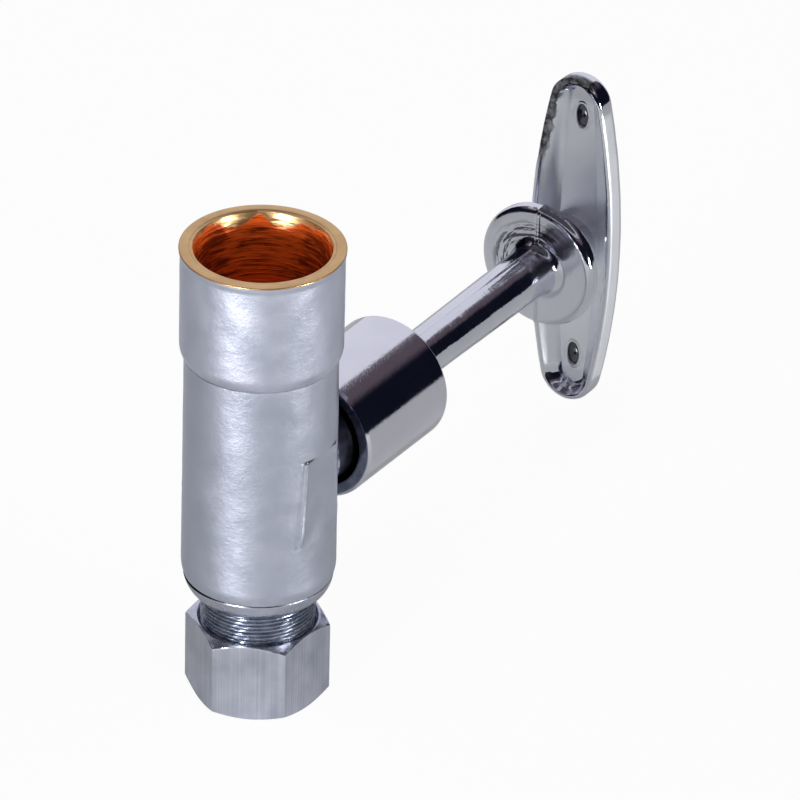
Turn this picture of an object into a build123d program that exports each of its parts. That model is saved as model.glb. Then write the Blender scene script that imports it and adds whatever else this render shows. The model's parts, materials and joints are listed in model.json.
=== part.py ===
"""Isolating valve: a quarter-turn ball valve with a solder socket, a compression end and a T-handle.

Millimetres. Z runs along the pipe and points at the solder socket. The handle leaves along Y.
The origin is on the pipes' axis at the stop that the smaller pipe's end comes up against.
"""
from build123d import *
from math import sqrt
import os

os.makedirs("parts", exist_ok=True)

# Pipes and their sockets
large_pipe_radius = 11.0
solder_gap = 0.05
solder_depth = 18.0
solder_lead_in = 0.7
large_pipe_wall = 1.2
throat_step = 5.0
throat_taper = 5.0
small_pipe_radius = 7.5
small_pipe_gap = 0.05
small_pipe_depth = 13.5
waterway_radius = 6.5

# Outside of the body, measured up or down from the stem's axis
collar_radius = 14.0
collar_height = 20.8
rim_lip = 0.22
rim_lip_height = 0.8
rim_above_stem = 45.4
barrel_top_radius = 13.2
barrel_low_radius = 13.4
shoulder_height = 2.4
barrel_below_stem = 18.3
barrel_edge_height = 2.2
seam_inset = 0.4
spanner_flats = 25.4
flat_width = 10.4
flat_above_stem = 9.3
flat_below_stem = 7.2

# Ball and seats
ball_radius = 9.5
ball_running_gap = 0.03
cavity_gap = 0.2
seat_inner_radius = 6.9
seat_height = 4.2
seat_start = 5.0
seat_gap = 0.05
ball_slot_width = 4.0
ball_slot_depth = 2.6
slot_gap = 0.05

# Compression end
connector_thread_radius = 11.2
thread_gap = 0.05
connector_inset = 0.2
connector_above_seat_edge = 1.2
flange_height = 3.5
flange_low_radius = 11.3
neck_length = 9.3
neck_thread_radius = 10.0
olive_cone_radius = 8.6
olive_cone_depth = 1.6
o_ring_section = 1.1
o_ring_gap = 0.02
o_ring_side_gap = 0.2
o_ring_above_seam = 1.2

# Nut and olive
nut_across_flats = 22.0
nut_height = 14.8
nut_corner = 26.5
nut_chamfer_slope = 0.577
nut_gap_to_flange = 6.2
nut_thread_depth = 11.0
nut_thread_gap = 0.06
nut_countersink = 0.5
nut_face_inset = 0.1
nut_cone_radius = 8.9
nut_cone_depth = 1.4
nut_pipe_gap = 0.15
olive_length = 6.0
olive_middle_radius = 8.75
olive_end_radius = 8.0
olive_taper = 1.8

# Stem and its seals, measured out from the pipe's axis
neck_radius = 8.2
neck_end = 28.0
stem_radius = 3.5
stem_collar_radius = 5.2
stem_collar_start = 10.0
stem_collar_height = 1.7
stem_gap = 0.04
stem_collar_gap = 0.2
stem_taper = 0.4
rod_end_gap = 0.2
washer_height = 0.7
tang_length = 2.4
tang_seat_gap = 0.3
stem_end_radius = 2.6
stem_end = 33.0
groove_start = 13.3
groove_depth = 0.8
stem_groove_width = 1.3
packing_box_radius = 5.6
packing_start = 15.6
packing_height = 2.6
gland_ring_height = 1.2
gland_nut_height = 3.8
gland_nut_socket_flats = 8.4
gland_nut_socket_depth = 2.0
box_rim_radius = 6.5
pin_radius = 1.0
pin_half_length = 7.4
pin_from_axis = 26.0
stop_gap = 0.1

# Handle and sleeve
rod_start = 24.4
rod_radius = 4.2
rod_end_radius = 4.7
rod_socket_depth = 9.4
rod_flare = 1.8
sleeve_start = 16.4
sleeve_length = 24.4
sleeve_radius = 11.8
sleeve_wall = 2.3
sleeve_end_wall = 5.0
sleeve_near_chamfer = 0.45
sleeve_far_radius = 0.7
grub_radius = 2.0
grub_length = 6.9
grub_socket_flats = 2.0
grub_socket_depth = 2.4
disc_start = 87.2
disc_thickness = 3.4
disc_radius = sleeve_radius
disc_edge_radius = 1.4
hub_radius = 5.4
plate_start = 98.4
plate_thickness = 4.8
plate_half_length = 33.2
plate_half_width = 8.65
plate_end_radius = 5.6
plate_back_radius = 1.8
tray_rim = 0.9
tray_depth = 2.8
tray_floor_half_width = 3.9
tray_floor_half_length = 30.6
tray_floor_end_radius = 2.2
plate_hole_radius = 1.6
plate_hole_spacing = 49.6
fit_gap = 0.03

# Heights and distances that follow from the sizes above
stem_height = barrel_below_stem + flange_height + neck_length - small_pipe_depth
mouth_z = -small_pipe_depth
stem_point = (0, 0, stem_height)
rim_z = stem_height + rim_above_stem
collar_z = rim_z - collar_height
solder_radius = large_pipe_radius + solder_gap
solder_stop_z = rim_z - solder_depth
seam_z = stem_height - barrel_below_stem
seam_radius = barrel_low_radius - seam_inset
flange_z = seam_z - flange_height
cavity_radius = ball_radius + cavity_gap
seat_top = seat_start + seat_height
tang_radius = seat_start - tang_seat_gap
seat_outer_radius = cavity_radius - seat_gap
small_socket_radius = small_pipe_radius + small_pipe_gap
connector_top_z = stem_height - seat_start - connector_above_seat_edge
body_thread_top_z = connector_top_z + connector_inset
washer_start = stem_collar_start + stem_collar_height
washer_end = washer_start + washer_height
gland_ring_start = packing_start + packing_height
gland_nut_start = gland_ring_start + gland_ring_height
gland_nut_end = gland_nut_start + gland_nut_height
sleeve_end = sleeve_start + sleeve_length
disc_end = disc_start + disc_thickness
hub_end = plate_start + (tray_depth + plate_thickness) / 2
nut_top_z = flange_z - nut_gap_to_flange
nut_shoulder_z = nut_top_z - nut_thread_depth
nut_pipe_radius = small_pipe_radius + nut_pipe_gap
cone_run = (nut_cone_radius - olive_end_radius) / (nut_cone_radius - nut_pipe_radius)
olive_z = nut_shoulder_z - cone_run * nut_cone_depth + fit_gap

# Planes and axes that the turned pieces share
upright = Plane.XZ
along_stem = Plane(origin=stem_point, x_dir=(0, 1, 0), z_dir=(1, 0, 0))
stem_axis = Axis(stem_point, (0, 1, 0))


def across_stem(distance):
    """Plane square to the stem, this far out from the pipe's axis; its own y is up."""
    return Plane(origin=(0, distance, stem_height), x_dir=(-1, 0, 0), z_dir=(0, 1, 0))


def ring_face(*points):
    """Closed straight-sided face through the points, where they stand, for a turned piece."""
    return Polygon(*points, align=None)


# Valve body: forged barrel, solder socket collar and stem neck in one piece
with BuildPart() as valve_body:
    with BuildSketch(upright) as outside:
        with BuildLine():
            lip = collar_radius + rim_lip
            lip_z = rim_z - rim_lip_height
            shoulder_z = collar_z + shoulder_height
            Polyline((0, rim_z), (lip, rim_z), (lip, lip_z), (collar_radius, lip_z - rim_lip))
            Line((collar_radius, lip_z - rim_lip), (collar_radius, shoulder_z))
            barrel_top = (barrel_top_radius, collar_z)
            TangentArc((collar_radius, shoulder_z), barrel_top, tangent=(0, -1))
            edge_z = seam_z + barrel_edge_height
            Line(barrel_top, (barrel_low_radius, edge_z))
            TangentArc((barrel_low_radius, edge_z), (seam_radius, seam_z), tangent=(0, -1))
            Polyline((seam_radius, seam_z), (0, seam_z), (0, rim_z))
        make_face()
    revolve(axis=Axis.Z)
    flats_height = flat_above_stem + flat_below_stem
    with BuildSketch(Plane.XY.offset(stem_height - flat_below_stem)):
        Rectangle(spanner_flats, flat_width)
    extrude(amount=flats_height)
    with BuildSketch(Plane.XY.offset(stem_height - flat_below_stem)):
        for side in (-1, 1):
            with Locations((side * (spanner_flats / 2 + collar_radius / 2), 0)):
                Rectangle(collar_radius, flat_width)
    extrude(amount=flats_height, mode=Mode.SUBTRACT)
    with BuildSketch(across_stem(0)):
        Circle(neck_radius)
    extrude(amount=neck_end)
    with BuildSketch(upright) as waterway:
        lead_in = solder_radius + solder_lead_in
        wide = large_pipe_radius - large_pipe_wall
        taper_z = solder_stop_z - throat_step
        throat_z = stem_height + seat_top
        ring_face(
            (0, rim_z), (lead_in, rim_z), (solder_radius, rim_z - solder_lead_in),
            (solder_radius, solder_stop_z), (wide, solder_stop_z), (wide, taper_z),
            (waterway_radius, taper_z - throat_taper), (waterway_radius, throat_z),
            (cavity_radius, throat_z), (cavity_radius, body_thread_top_z),
            (connector_thread_radius + thread_gap, body_thread_top_z),
            (connector_thread_radius + thread_gap, seam_z), (0, seam_z),
        )
    revolve(axis=Axis.Z, mode=Mode.SUBTRACT)
    with BuildSketch(along_stem) as stem_bore:
        counterbore = stem_collar_radius + stem_collar_gap
        hole = stem_radius + stem_gap
        ring_face(
            (ball_slot_depth, 0), (ball_slot_depth, counterbore), (washer_end, counterbore),
            (washer_end, hole), (packing_start, hole), (packing_start, packing_box_radius),
            (gland_nut_end, packing_box_radius), (gland_nut_end, box_rim_radius),
            (neck_end, box_rim_radius), (neck_end, 0),
        )
    revolve(axis=stem_axis, mode=Mode.SUBTRACT)
    notch_start = pin_from_axis - pin_radius - stop_gap
    with BuildSketch(across_stem(notch_start)) as stop_notches:
        notch = neck_radius + 1
        edge = pin_radius + stop_gap
        for side in (-1, 1):
            with Locations((-side * (notch - edge) / 2, side * (notch - edge) / 2)):
                Rectangle(notch + edge, notch + edge)
    extrude(amount=neck_end - notch_start, mode=Mode.SUBTRACT)

# End connector: screws into the body, holds the lower seat and carries the compression end
with BuildPart() as end_connector:
    with BuildSketch(upright) as connector_half:
        groove_middle = seam_z + o_ring_above_seam + o_ring_section / 2
        groove_half = o_ring_section / 2 + o_ring_side_gap
        groove_radius = connector_thread_radius + thread_gap - o_ring_section - 2 * o_ring_gap
        pocket_z = stem_height - seat_top
        with BuildLine():
            Polyline(
                (cavity_radius, connector_top_z), (connector_thread_radius, connector_top_z),
                (connector_thread_radius, groove_middle + groove_half),
                (groove_radius, groove_middle + groove_half),
                (groove_radius, groove_middle - groove_half),
                (connector_thread_radius, groove_middle - groove_half),
                (connector_thread_radius, seam_z), (seam_radius, seam_z),
            )
            TangentArc((seam_radius, seam_z), (flange_low_radius, flange_z), tangent=(-0.1, -1))
            Polyline(
                (flange_low_radius, flange_z), (neck_thread_radius, flange_z),
                (neck_thread_radius, mouth_z), (olive_cone_radius, mouth_z),
                (small_socket_radius, mouth_z + olive_cone_depth), (small_socket_radius, 0),
                (waterway_radius, 0), (waterway_radius, pocket_z),
                (cavity_radius, pocket_z), (cavity_radius, connector_top_z),
            )
        make_face()
    revolve(axis=Axis.Z)

# Seal ring in the connector's groove
with BuildPart() as connector_o_ring:
    section_radius = o_ring_section / 2
    section_middle = connector_thread_radius + thread_gap - o_ring_gap - section_radius
    with BuildSketch(upright):
        with Locations((section_middle, groove_middle)):
            Circle(section_radius)
    revolve(axis=Axis.Z)

# Seats: soft rings whose inner faces follow the ball, one above it and one below
with BuildPart() as upper_seat:
    with BuildSketch(upright) as seat_half:
        seat_sphere = ball_radius + ball_running_gap
        face_low = (sqrt(seat_sphere**2 - seat_start**2), stem_height + seat_start)
        face_high = (seat_inner_radius, stem_height + sqrt(seat_sphere**2 - seat_inner_radius**2))
        with BuildLine():
            RadiusArc(face_low, face_high, -seat_sphere)
            Polyline(
                face_high, (seat_inner_radius, stem_height + seat_top),
                (seat_outer_radius, stem_height + seat_top),
                (seat_outer_radius, stem_height + seat_start), face_low,
            )
        make_face()
    revolve(axis=Axis.Z)

with BuildPart() as lower_seat:
    mirror(upper_seat.part, about=Plane.XY.offset(stem_height))

# Ball: bored along the pipe, with a slot for the stem's tang
with BuildPart() as ball:
    with Locations(stem_point):
        Sphere(ball_radius)
    with BuildSketch(Plane.XY.offset(stem_height - ball_radius)):
        Circle(waterway_radius)
    extrude(amount=2 * ball_radius, mode=Mode.SUBTRACT)
    with BuildSketch(across_stem(ball_radius - ball_slot_depth)):
        Rectangle(2 * ball_radius, ball_slot_width)
    extrude(amount=ball_slot_depth, mode=Mode.SUBTRACT)

# Stem: tang, blow-out collar, sealed shaft and the end that the handle is pinned to
with BuildPart() as stem:
    with BuildSketch(along_stem):
        groove_end = groove_start + stem_groove_width
        groove_floor = stem_radius - groove_depth
        taper_start = rod_start - rod_end_gap - stem_taper
        ring_face(
            (stem_collar_start, 0), (stem_collar_start, stem_collar_radius),
            (washer_start, stem_collar_radius), (washer_start, stem_radius),
            (groove_start, stem_radius), (groove_start, groove_floor), (groove_end, groove_floor),
            (groove_end, stem_radius), (taper_start, stem_radius),
            (taper_start + stem_taper, stem_end_radius), (stem_end, stem_end_radius), (stem_end, 0),
        )
    revolve(axis=stem_axis)
    with BuildSketch(across_stem(stem_collar_start - tang_length)):
        Circle(tang_radius)
        Rectangle(2 * tang_radius, ball_slot_width - 2 * slot_gap, mode=Mode.INTERSECT)
    extrude(amount=tang_length)
    with BuildSketch(Plane.YZ.offset(-stem_radius)):
        with Locations((pin_from_axis, stem_height)):
            Circle(pin_radius + fit_gap)
    extrude(amount=2 * stem_radius, mode=Mode.SUBTRACT)

# Washer that takes the stem's thrust against the body
with BuildPart() as thrust_washer:
    with BuildSketch(across_stem(washer_start + fit_gap / 2)):
        Circle(stem_collar_radius)
        Circle(stem_radius + stem_gap, mode=Mode.SUBTRACT)
    extrude(amount=washer_height - fit_gap)

# Seal ring in the stem's groove
with BuildPart() as stem_o_ring:
    stem_ring_radius = (groove_depth + stem_gap) / 2 - o_ring_gap / 2
    with BuildSketch(along_stem):
        with Locations(((groove_start + groove_end) / 2, groove_floor + o_ring_gap / 2 + stem_ring_radius)):
            Circle(stem_ring_radius)
    revolve(axis=stem_axis)

# Packing, its follower ring and the nut that squeezes them
with BuildPart() as packing_ring:
    with BuildSketch(across_stem(packing_start)):
        Circle(packing_box_radius - fit_gap)
        Circle(stem_radius + stem_gap, mode=Mode.SUBTRACT)
    extrude(amount=packing_height - fit_gap)

with BuildPart() as gland_ring:
    with BuildSketch(across_stem(gland_ring_start)):
        Circle(packing_box_radius - fit_gap)
        Circle(stem_radius + stem_gap, mode=Mode.SUBTRACT)
    extrude(amount=gland_ring_height - fit_gap)

with BuildPart() as gland_nut:
    with BuildSketch(across_stem(gland_nut_start)):
        Circle(packing_box_radius - fit_gap)
        Circle(stem_radius + stem_gap, mode=Mode.SUBTRACT)
    extrude(amount=gland_nut_height)
    with BuildSketch(across_stem(gland_nut_end - gland_nut_socket_depth)):
        RegularPolygon(gland_nut_socket_flats / 2, 6, major_radius=False)
    extrude(amount=gland_nut_socket_depth, mode=Mode.SUBTRACT)

# Outlines of the handle's plate: its edge, the tray's rim and the tray's narrower floor
plate_loops = []
for distance, half_width, half_length, end_radius in (
    (plate_start, plate_half_width, plate_half_length, plate_end_radius),
    (plate_start, plate_half_width - tray_rim, plate_half_length - tray_rim, plate_end_radius - tray_rim),
    (plate_start + tray_depth, tray_floor_half_width, tray_floor_half_length, tray_floor_end_radius),
):
    with BuildSketch(across_stem(distance)) as plate_loop:
        end_centre = half_length - end_radius
        side_square = half_width**2 + end_centre**2 - end_radius**2
        side_radius = side_square / (2 * (half_width - end_radius))
        reach = side_radius / (side_radius - end_radius)
        end_z = end_centre * reach
        end_x = (side_radius - half_width) * (reach - 1)
        with BuildLine():
            ThreePointArc((end_x, -end_z), (half_width, 0), (end_x, end_z))
            ThreePointArc((end_x, end_z), (0, half_length), (-end_x, end_z))
            ThreePointArc((-end_x, end_z), (-half_width, 0), (-end_x, -end_z))
            ThreePointArc((-end_x, -end_z), (0, -half_length), (end_x, -end_z))
        make_face()
    plate_loops.append(plate_loop.sketch)
plate_edge, tray_edge, tray_floor = plate_loops

# T-handle: cast in one piece with its rod, disc and dished plate
with BuildPart() as t_handle:
    with BuildSketch(along_stem) as rod_half:
        flare_start = (disc_start - rod_flare, rod_end_radius)
        flare_end = (disc_start, rod_end_radius + rod_flare)
        rim_front = (disc_start, disc_radius - disc_edge_radius)
        rim_top = (disc_start + disc_edge_radius, disc_radius)
        back_top = (disc_end - disc_edge_radius, disc_radius)
        rim_back = (disc_end, disc_radius - disc_edge_radius)
        with BuildLine():
            Polyline(
                (disc_end, 0), (rod_start, 0), (rod_start, rod_radius), (sleeve_end, rod_radius), flare_start,
            )
            RadiusArc(flare_start, flare_end, -rod_flare)
            Line(flare_end, rim_front)
            RadiusArc(rim_front, rim_top, disc_edge_radius)
            Line(rim_top, back_top)
            RadiusArc(back_top, rim_back, disc_edge_radius)
            Polyline(rim_back, (disc_end, 0))
        make_face()
    revolve(axis=stem_axis)
    extrude(plate_edge, amount=plate_thickness)
    fillet(faces().filter_by(Axis.Y).sort_by(Axis.Y)[-1].edges(), plate_back_radius)
    loft([tray_edge, tray_floor], mode=Mode.SUBTRACT)
    with BuildSketch(across_stem(plate_start)):
        with GridLocations(0, plate_hole_spacing, 1, 2):
            Circle(plate_hole_radius)
    extrude(amount=plate_thickness, mode=Mode.SUBTRACT)
    with BuildSketch(across_stem(disc_end - disc_edge_radius)):
        Circle(hub_radius)
    extrude(amount=hub_end - disc_end + disc_edge_radius)
    with BuildSketch(across_stem(rod_start)):
        Circle(stem_end_radius + fit_gap)
    extrude(amount=rod_socket_depth, mode=Mode.SUBTRACT)
    with BuildSketch(Plane.YZ.offset(-rod_end_radius)):
        with Locations((pin_from_axis, stem_height)):
            Circle(pin_radius + fit_gap)
    extrude(amount=2 * rod_end_radius, mode=Mode.SUBTRACT)

# Pin through handle and stem; its ends meet the lugs of the neck at both limits
with BuildPart() as drive_pin:
    with BuildSketch(Plane.YZ.offset(-pin_half_length)):
        with Locations((pin_from_axis, stem_height)):
            Circle(pin_radius)
    extrude(amount=2 * pin_half_length)

# Sleeve: a cup on the rod that covers the neck and the stop
with BuildPart() as sleeve:
    with BuildSketch(along_stem) as sleeve_half:
        inner = sleeve_radius - sleeve_wall
        floor = sleeve_end - sleeve_end_wall
        with BuildLine():
            Polyline(
                (sleeve_start, inner), (sleeve_start, sleeve_radius - sleeve_near_chamfer),
                (sleeve_start + sleeve_near_chamfer, sleeve_radius),
                (sleeve_end - sleeve_far_radius, sleeve_radius),
            )
            RadiusArc(
                (sleeve_end - sleeve_far_radius, sleeve_radius),
                (sleeve_end, sleeve_radius - sleeve_far_radius), sleeve_far_radius,
            )
            Polyline(
                (sleeve_end, sleeve_radius - sleeve_far_radius), (sleeve_end, rod_radius + fit_gap),
                (floor, rod_radius + fit_gap), (floor, inner), (sleeve_start, inner),
            )
        make_face()
    revolve(axis=stem_axis)
    grub_y = sleeve_end - sleeve_end_wall / 2
    grub_base_z = stem_height - rod_radius - fit_gap
    with BuildSketch(Plane.XY.offset(grub_base_z + 1)):
        with Locations((0, grub_y)):
            Circle(grub_radius + fit_gap)
    extrude(amount=-sleeve_radius, mode=Mode.SUBTRACT)

# Grub screw that clamps the sleeve to the rod, on the side away from view
with BuildPart() as grub_screw:
    with BuildSketch(Plane.XY.offset(grub_base_z - fit_gap)):
        with Locations((0, grub_y)):
            Circle(grub_radius)
    extrude(amount=-grub_length)
    with BuildSketch(Plane.XY.offset(grub_base_z - fit_gap - grub_length)):
        with Locations((0, grub_y)):
            RegularPolygon(grub_socket_flats / 2, 6, major_radius=False)
    extrude(amount=grub_socket_depth, mode=Mode.SUBTRACT)

# Compression nut: hexagon with both ends chamfered, thread bore, cone and pipe hole
with BuildPart() as compression_nut:
    nut_low_z = nut_top_z - nut_height
    with BuildSketch(Plane.XY.offset(nut_low_z)):
        RegularPolygon(nut_across_flats / 2, 6, major_radius=False, rotation=nut_corner)
    extrude(amount=nut_height)
    with BuildSketch(upright) as nut_blank:
        flat_radius = nut_across_flats / 2 - nut_face_inset
        corner_radius = nut_across_flats / sqrt(3)
        drop = (corner_radius - flat_radius) * nut_chamfer_slope
        ring_face(
            (0, nut_low_z), (flat_radius, nut_low_z), (corner_radius, nut_low_z + drop),
            (corner_radius, nut_top_z - drop), (flat_radius, nut_top_z), (0, nut_top_z),
        )
    revolve(axis=Axis.Z, mode=Mode.INTERSECT)
    with BuildSketch(upright) as nut_bore:
        thread_bore = neck_thread_radius + nut_thread_gap
        ring_face(
            (0, nut_top_z), (thread_bore + nut_countersink, nut_top_z),
            (thread_bore, nut_top_z - nut_countersink), (thread_bore, nut_shoulder_z),
            (nut_cone_radius, nut_shoulder_z), (nut_pipe_radius, nut_shoulder_z - nut_cone_depth),
            (nut_pipe_radius, nut_low_z), (0, nut_low_z),
        )
    revolve(axis=Axis.Z, mode=Mode.SUBTRACT)

# Olive: soft ring that the nut squeezes onto the pipe
with BuildPart() as olive:
    with BuildSketch(upright):
        olive_top_z = olive_z + olive_length
        ring_face(
            (small_socket_radius, olive_z), (olive_end_radius, olive_z),
            (olive_middle_radius, olive_z + olive_taper), (olive_middle_radius, olive_top_z - olive_taper),
            (olive_end_radius, olive_top_z), (small_socket_radius, olive_top_z),
        )
    revolve(axis=Axis.Z)

pieces = {
    "valve_body": valve_body,
    "end_connector": end_connector,
    "connector_o_ring": connector_o_ring,
    "upper_seat": upper_seat,
    "lower_seat": lower_seat,
    "ball": ball,
    "stem": stem,
    "thrust_washer": thrust_washer,
    "stem_o_ring": stem_o_ring,
    "packing_ring": packing_ring,
    "gland_ring": gland_ring,
    "gland_nut": gland_nut,
    "t_handle": t_handle,
    "drive_pin": drive_pin,
    "sleeve": sleeve,
    "grub_screw": grub_screw,
    "compression_nut": compression_nut,
    "olive": olive,
}
for name, piece in pieces.items():
    piece.part.label = name
    export_step(piece.part, f"parts/{name}.step")
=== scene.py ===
"""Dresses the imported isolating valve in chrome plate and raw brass, in a plain pale studio.

Millimetres are used for every size of the object; meshes are scaled to metres as they are made.
Z runs along the pipe towards the solder socket, and Y along the stem towards the handle.
"""
from __future__ import annotations

import json
import logging
import math
from dataclasses import dataclass
from enum import Enum
from typing import Any, Mapping, Sequence

import bmesh
import bpy
import numpy as np
from mathutils import Matrix, Vector, geometry, noise

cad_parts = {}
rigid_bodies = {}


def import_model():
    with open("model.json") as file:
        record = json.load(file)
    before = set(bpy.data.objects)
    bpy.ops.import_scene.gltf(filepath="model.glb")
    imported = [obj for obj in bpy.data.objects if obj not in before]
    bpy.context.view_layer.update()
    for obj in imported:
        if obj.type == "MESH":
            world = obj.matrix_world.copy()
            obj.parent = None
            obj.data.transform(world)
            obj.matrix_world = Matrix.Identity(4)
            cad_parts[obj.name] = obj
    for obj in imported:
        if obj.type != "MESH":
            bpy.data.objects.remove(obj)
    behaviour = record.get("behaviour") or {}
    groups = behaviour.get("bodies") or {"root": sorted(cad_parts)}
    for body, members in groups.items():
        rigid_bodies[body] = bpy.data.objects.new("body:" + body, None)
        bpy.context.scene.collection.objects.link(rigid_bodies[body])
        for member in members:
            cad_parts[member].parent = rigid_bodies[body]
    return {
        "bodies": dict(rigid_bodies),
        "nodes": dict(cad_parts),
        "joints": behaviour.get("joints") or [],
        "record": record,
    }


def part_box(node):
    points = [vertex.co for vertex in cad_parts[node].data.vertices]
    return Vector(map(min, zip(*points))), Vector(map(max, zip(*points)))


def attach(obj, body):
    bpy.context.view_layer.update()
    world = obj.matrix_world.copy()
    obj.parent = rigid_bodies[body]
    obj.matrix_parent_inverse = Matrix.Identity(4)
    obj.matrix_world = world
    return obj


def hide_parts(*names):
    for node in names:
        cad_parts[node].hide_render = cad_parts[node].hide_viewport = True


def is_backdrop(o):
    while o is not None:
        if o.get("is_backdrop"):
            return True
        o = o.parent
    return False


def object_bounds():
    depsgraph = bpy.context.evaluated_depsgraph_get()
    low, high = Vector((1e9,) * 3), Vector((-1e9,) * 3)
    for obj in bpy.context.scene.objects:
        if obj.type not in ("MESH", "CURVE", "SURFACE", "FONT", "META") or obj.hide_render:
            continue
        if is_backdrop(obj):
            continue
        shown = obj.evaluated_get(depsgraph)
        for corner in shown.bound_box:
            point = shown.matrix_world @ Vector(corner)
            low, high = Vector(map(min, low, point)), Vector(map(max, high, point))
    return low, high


log = logging.getLogger("valve")

MM = 0.001
FULL_TURN = 2 * math.pi
ON_AXIS = 0.001
Colour = tuple[float, float, float]
Widths = tuple[float, float, float]
WHITE: Colour = (1.0, 1.0, 1.0)


def opaque(colour: Colour) -> tuple[float, float, float, float]:
    """The colour with full alpha, as colour sockets take it."""
    return (*colour, 1.0)


def direction(azimuth: float, elevation: float) -> Vector:
    """Unit vector towards an azimuth and elevation in degrees; azimuth 0 is in front, on the -Y side."""
    a, e = math.radians(azimuth), math.radians(elevation)
    return Vector((math.sin(a) * math.cos(e), -math.cos(a) * math.cos(e), math.sin(e)))


# Shader maths


class Signal:
    """A node's output that takes part in arithmetic, so that shader maths reads as Python."""

    def __init__(self, graph: Graph, socket: bpy.types.NodeSocket) -> None:
        """Wraps the socket.

        Args:
            graph: The graph that the socket's node stands in.
            socket: The output socket.
        """
        self.graph = graph
        self.socket = socket

    def maths(self, operation: str, *operands: Operand, clamp: bool = False) -> Signal:
        """Adds a Math node on this value.

        Args:
            operation: The Math node's operation.
            *operands: What follows this value, in the node's order.
            clamp: Whether the result is kept within 0 and 1.

        Returns:
            The node's result.
        """
        sockets = dict(enumerate((self, *operands)))
        return self.graph.add("ShaderNodeMath", {"operation": operation, "use_clamp": clamp}, sockets)

    def __add__(self, other: Operand) -> Signal:
        """This value plus the other."""
        return self.maths("ADD", other)

    def __radd__(self, other: Operand) -> Signal:
        """The other plus this value."""
        return self.maths("ADD", other)

    def __sub__(self, other: Operand) -> Signal:
        """This value less the other."""
        return self.maths("SUBTRACT", other)

    def __rsub__(self, other: float) -> Signal:
        """The other less this value."""
        return (self * -1) + other

    def __mul__(self, other: Operand) -> Signal:
        """This value times the other."""
        return self.maths("MULTIPLY", other)

    def __rmul__(self, other: Operand) -> Signal:
        """The other times this value."""
        return self.maths("MULTIPLY", other)

    def __truediv__(self, other: Operand) -> Signal:
        """This value over the other."""
        return self.maths("DIVIDE", other)

    def __pow__(self, other: Operand) -> Signal:
        """This value to the other's power."""
        return self.maths("POWER", other)

    def __abs__(self) -> Signal:
        """This value without its sign."""
        return self.maths("ABSOLUTE")

    def clamped(self) -> Signal:
        """This value kept within 0 and 1."""
        return self.maths("ADD", 0.0, clamp=True)

    def step(self, low: float, high: float) -> Signal:
        """Smooth step of this value.

        Args:
            low: Where the step starts from 0.
            high: Where it arrives at 1; below low it falls instead.

        Returns:
            The step, between 0 and 1.
        """
        settings = {"interpolation_type": "SMOOTHSTEP"}
        sockets = {"Value": self, "From Min": low, "From Max": high}
        return self.graph.add("ShaderNodeMapRange", settings, sockets)

    def between(self, low: float, full: float, last: float, high: float) -> Signal:
        """Smooth window on this value.

        Args:
            low: Where the window starts to open.
            full: Where it is open.
            last: Where it starts to close.
            high: Where it is closed again.

        Returns:
            1 inside the window and 0 outside.
        """
        return self.step(low, full) * self.step(high, last)

    def hypot(self, other: Signal) -> Signal:
        """Distance from the line where this value and the other are 0."""
        return (self * self + other * other) ** 0.5


Operand = Signal | float


class Graph:
    """One node tree, with a single method that adds nodes."""

    def __init__(self, tree: bpy.types.NodeTree) -> None:
        """Empties the tree.

        Args:
            tree: The node tree to fill.
        """
        self.tree = tree
        tree.nodes.clear()

    def add(
        self,
        kind: str,
        settings: Mapping[str, Any] | None = None,
        sockets: Mapping[int | str, Any] | None = None,
        output: int | str = 0,
    ) -> Signal | None:
        """Adds a node, sets it up and links it.

        Args:
            kind: The node's type.
            settings: Its properties, set first.
            sockets: Values or signals for its inputs, by name or by number.
            output: The output that is wanted, by name or by number.

        Returns:
            That output, or None where the node has no outputs.
        """
        node = self.tree.nodes.new(kind)
        for name, value in (settings or {}).items():
            setattr(node, name, value)
        for key, value in (sockets or {}).items():
            if isinstance(value, Signal):
                self.tree.links.new(value.socket, node.inputs[key])
            else:
                node.inputs[key].default_value = value
        return Signal(self, node.outputs[output]) if node.outputs else None

    def axes(self, vector: Signal) -> tuple[Signal, Signal, Signal]:
        """The vector's x, y and z."""
        parts = [self.add("ShaderNodeSeparateXYZ", sockets={0: vector}, output=name) for name in "XYZ"]
        return parts[0], parts[1], parts[2]

    def blend(self, share: Operand, first: Any, second: Any) -> Signal:
        """Mix of two colours.

        Args:
            share: How much of the second colour.
            first: The first colour.
            second: The second colour.

        Returns:
            The mixed colour.
        """
        colours = [opaque(c) if isinstance(c, tuple) else c for c in (first, second)]
        settings = {"data_type": "RGBA", "clamp_factor": True}
        return self.add("ShaderNodeMix", settings, {0: share, 6: colours[0], 7: colours[1]}, 2)

    def rays(self, *names: str) -> Signal:
        """How much the ray is one of the named kinds.

        Args:
            *names: Outputs of the Light Path node.

        Returns:
            1 for those kinds of ray and 0 for others.
        """
        total: Signal = self.add("ShaderNodeLightPath", output=names[0])
        for name in names[1:]:
            total = total + self.add("ShaderNodeLightPath", output=name)
        return total.clamped()


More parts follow.
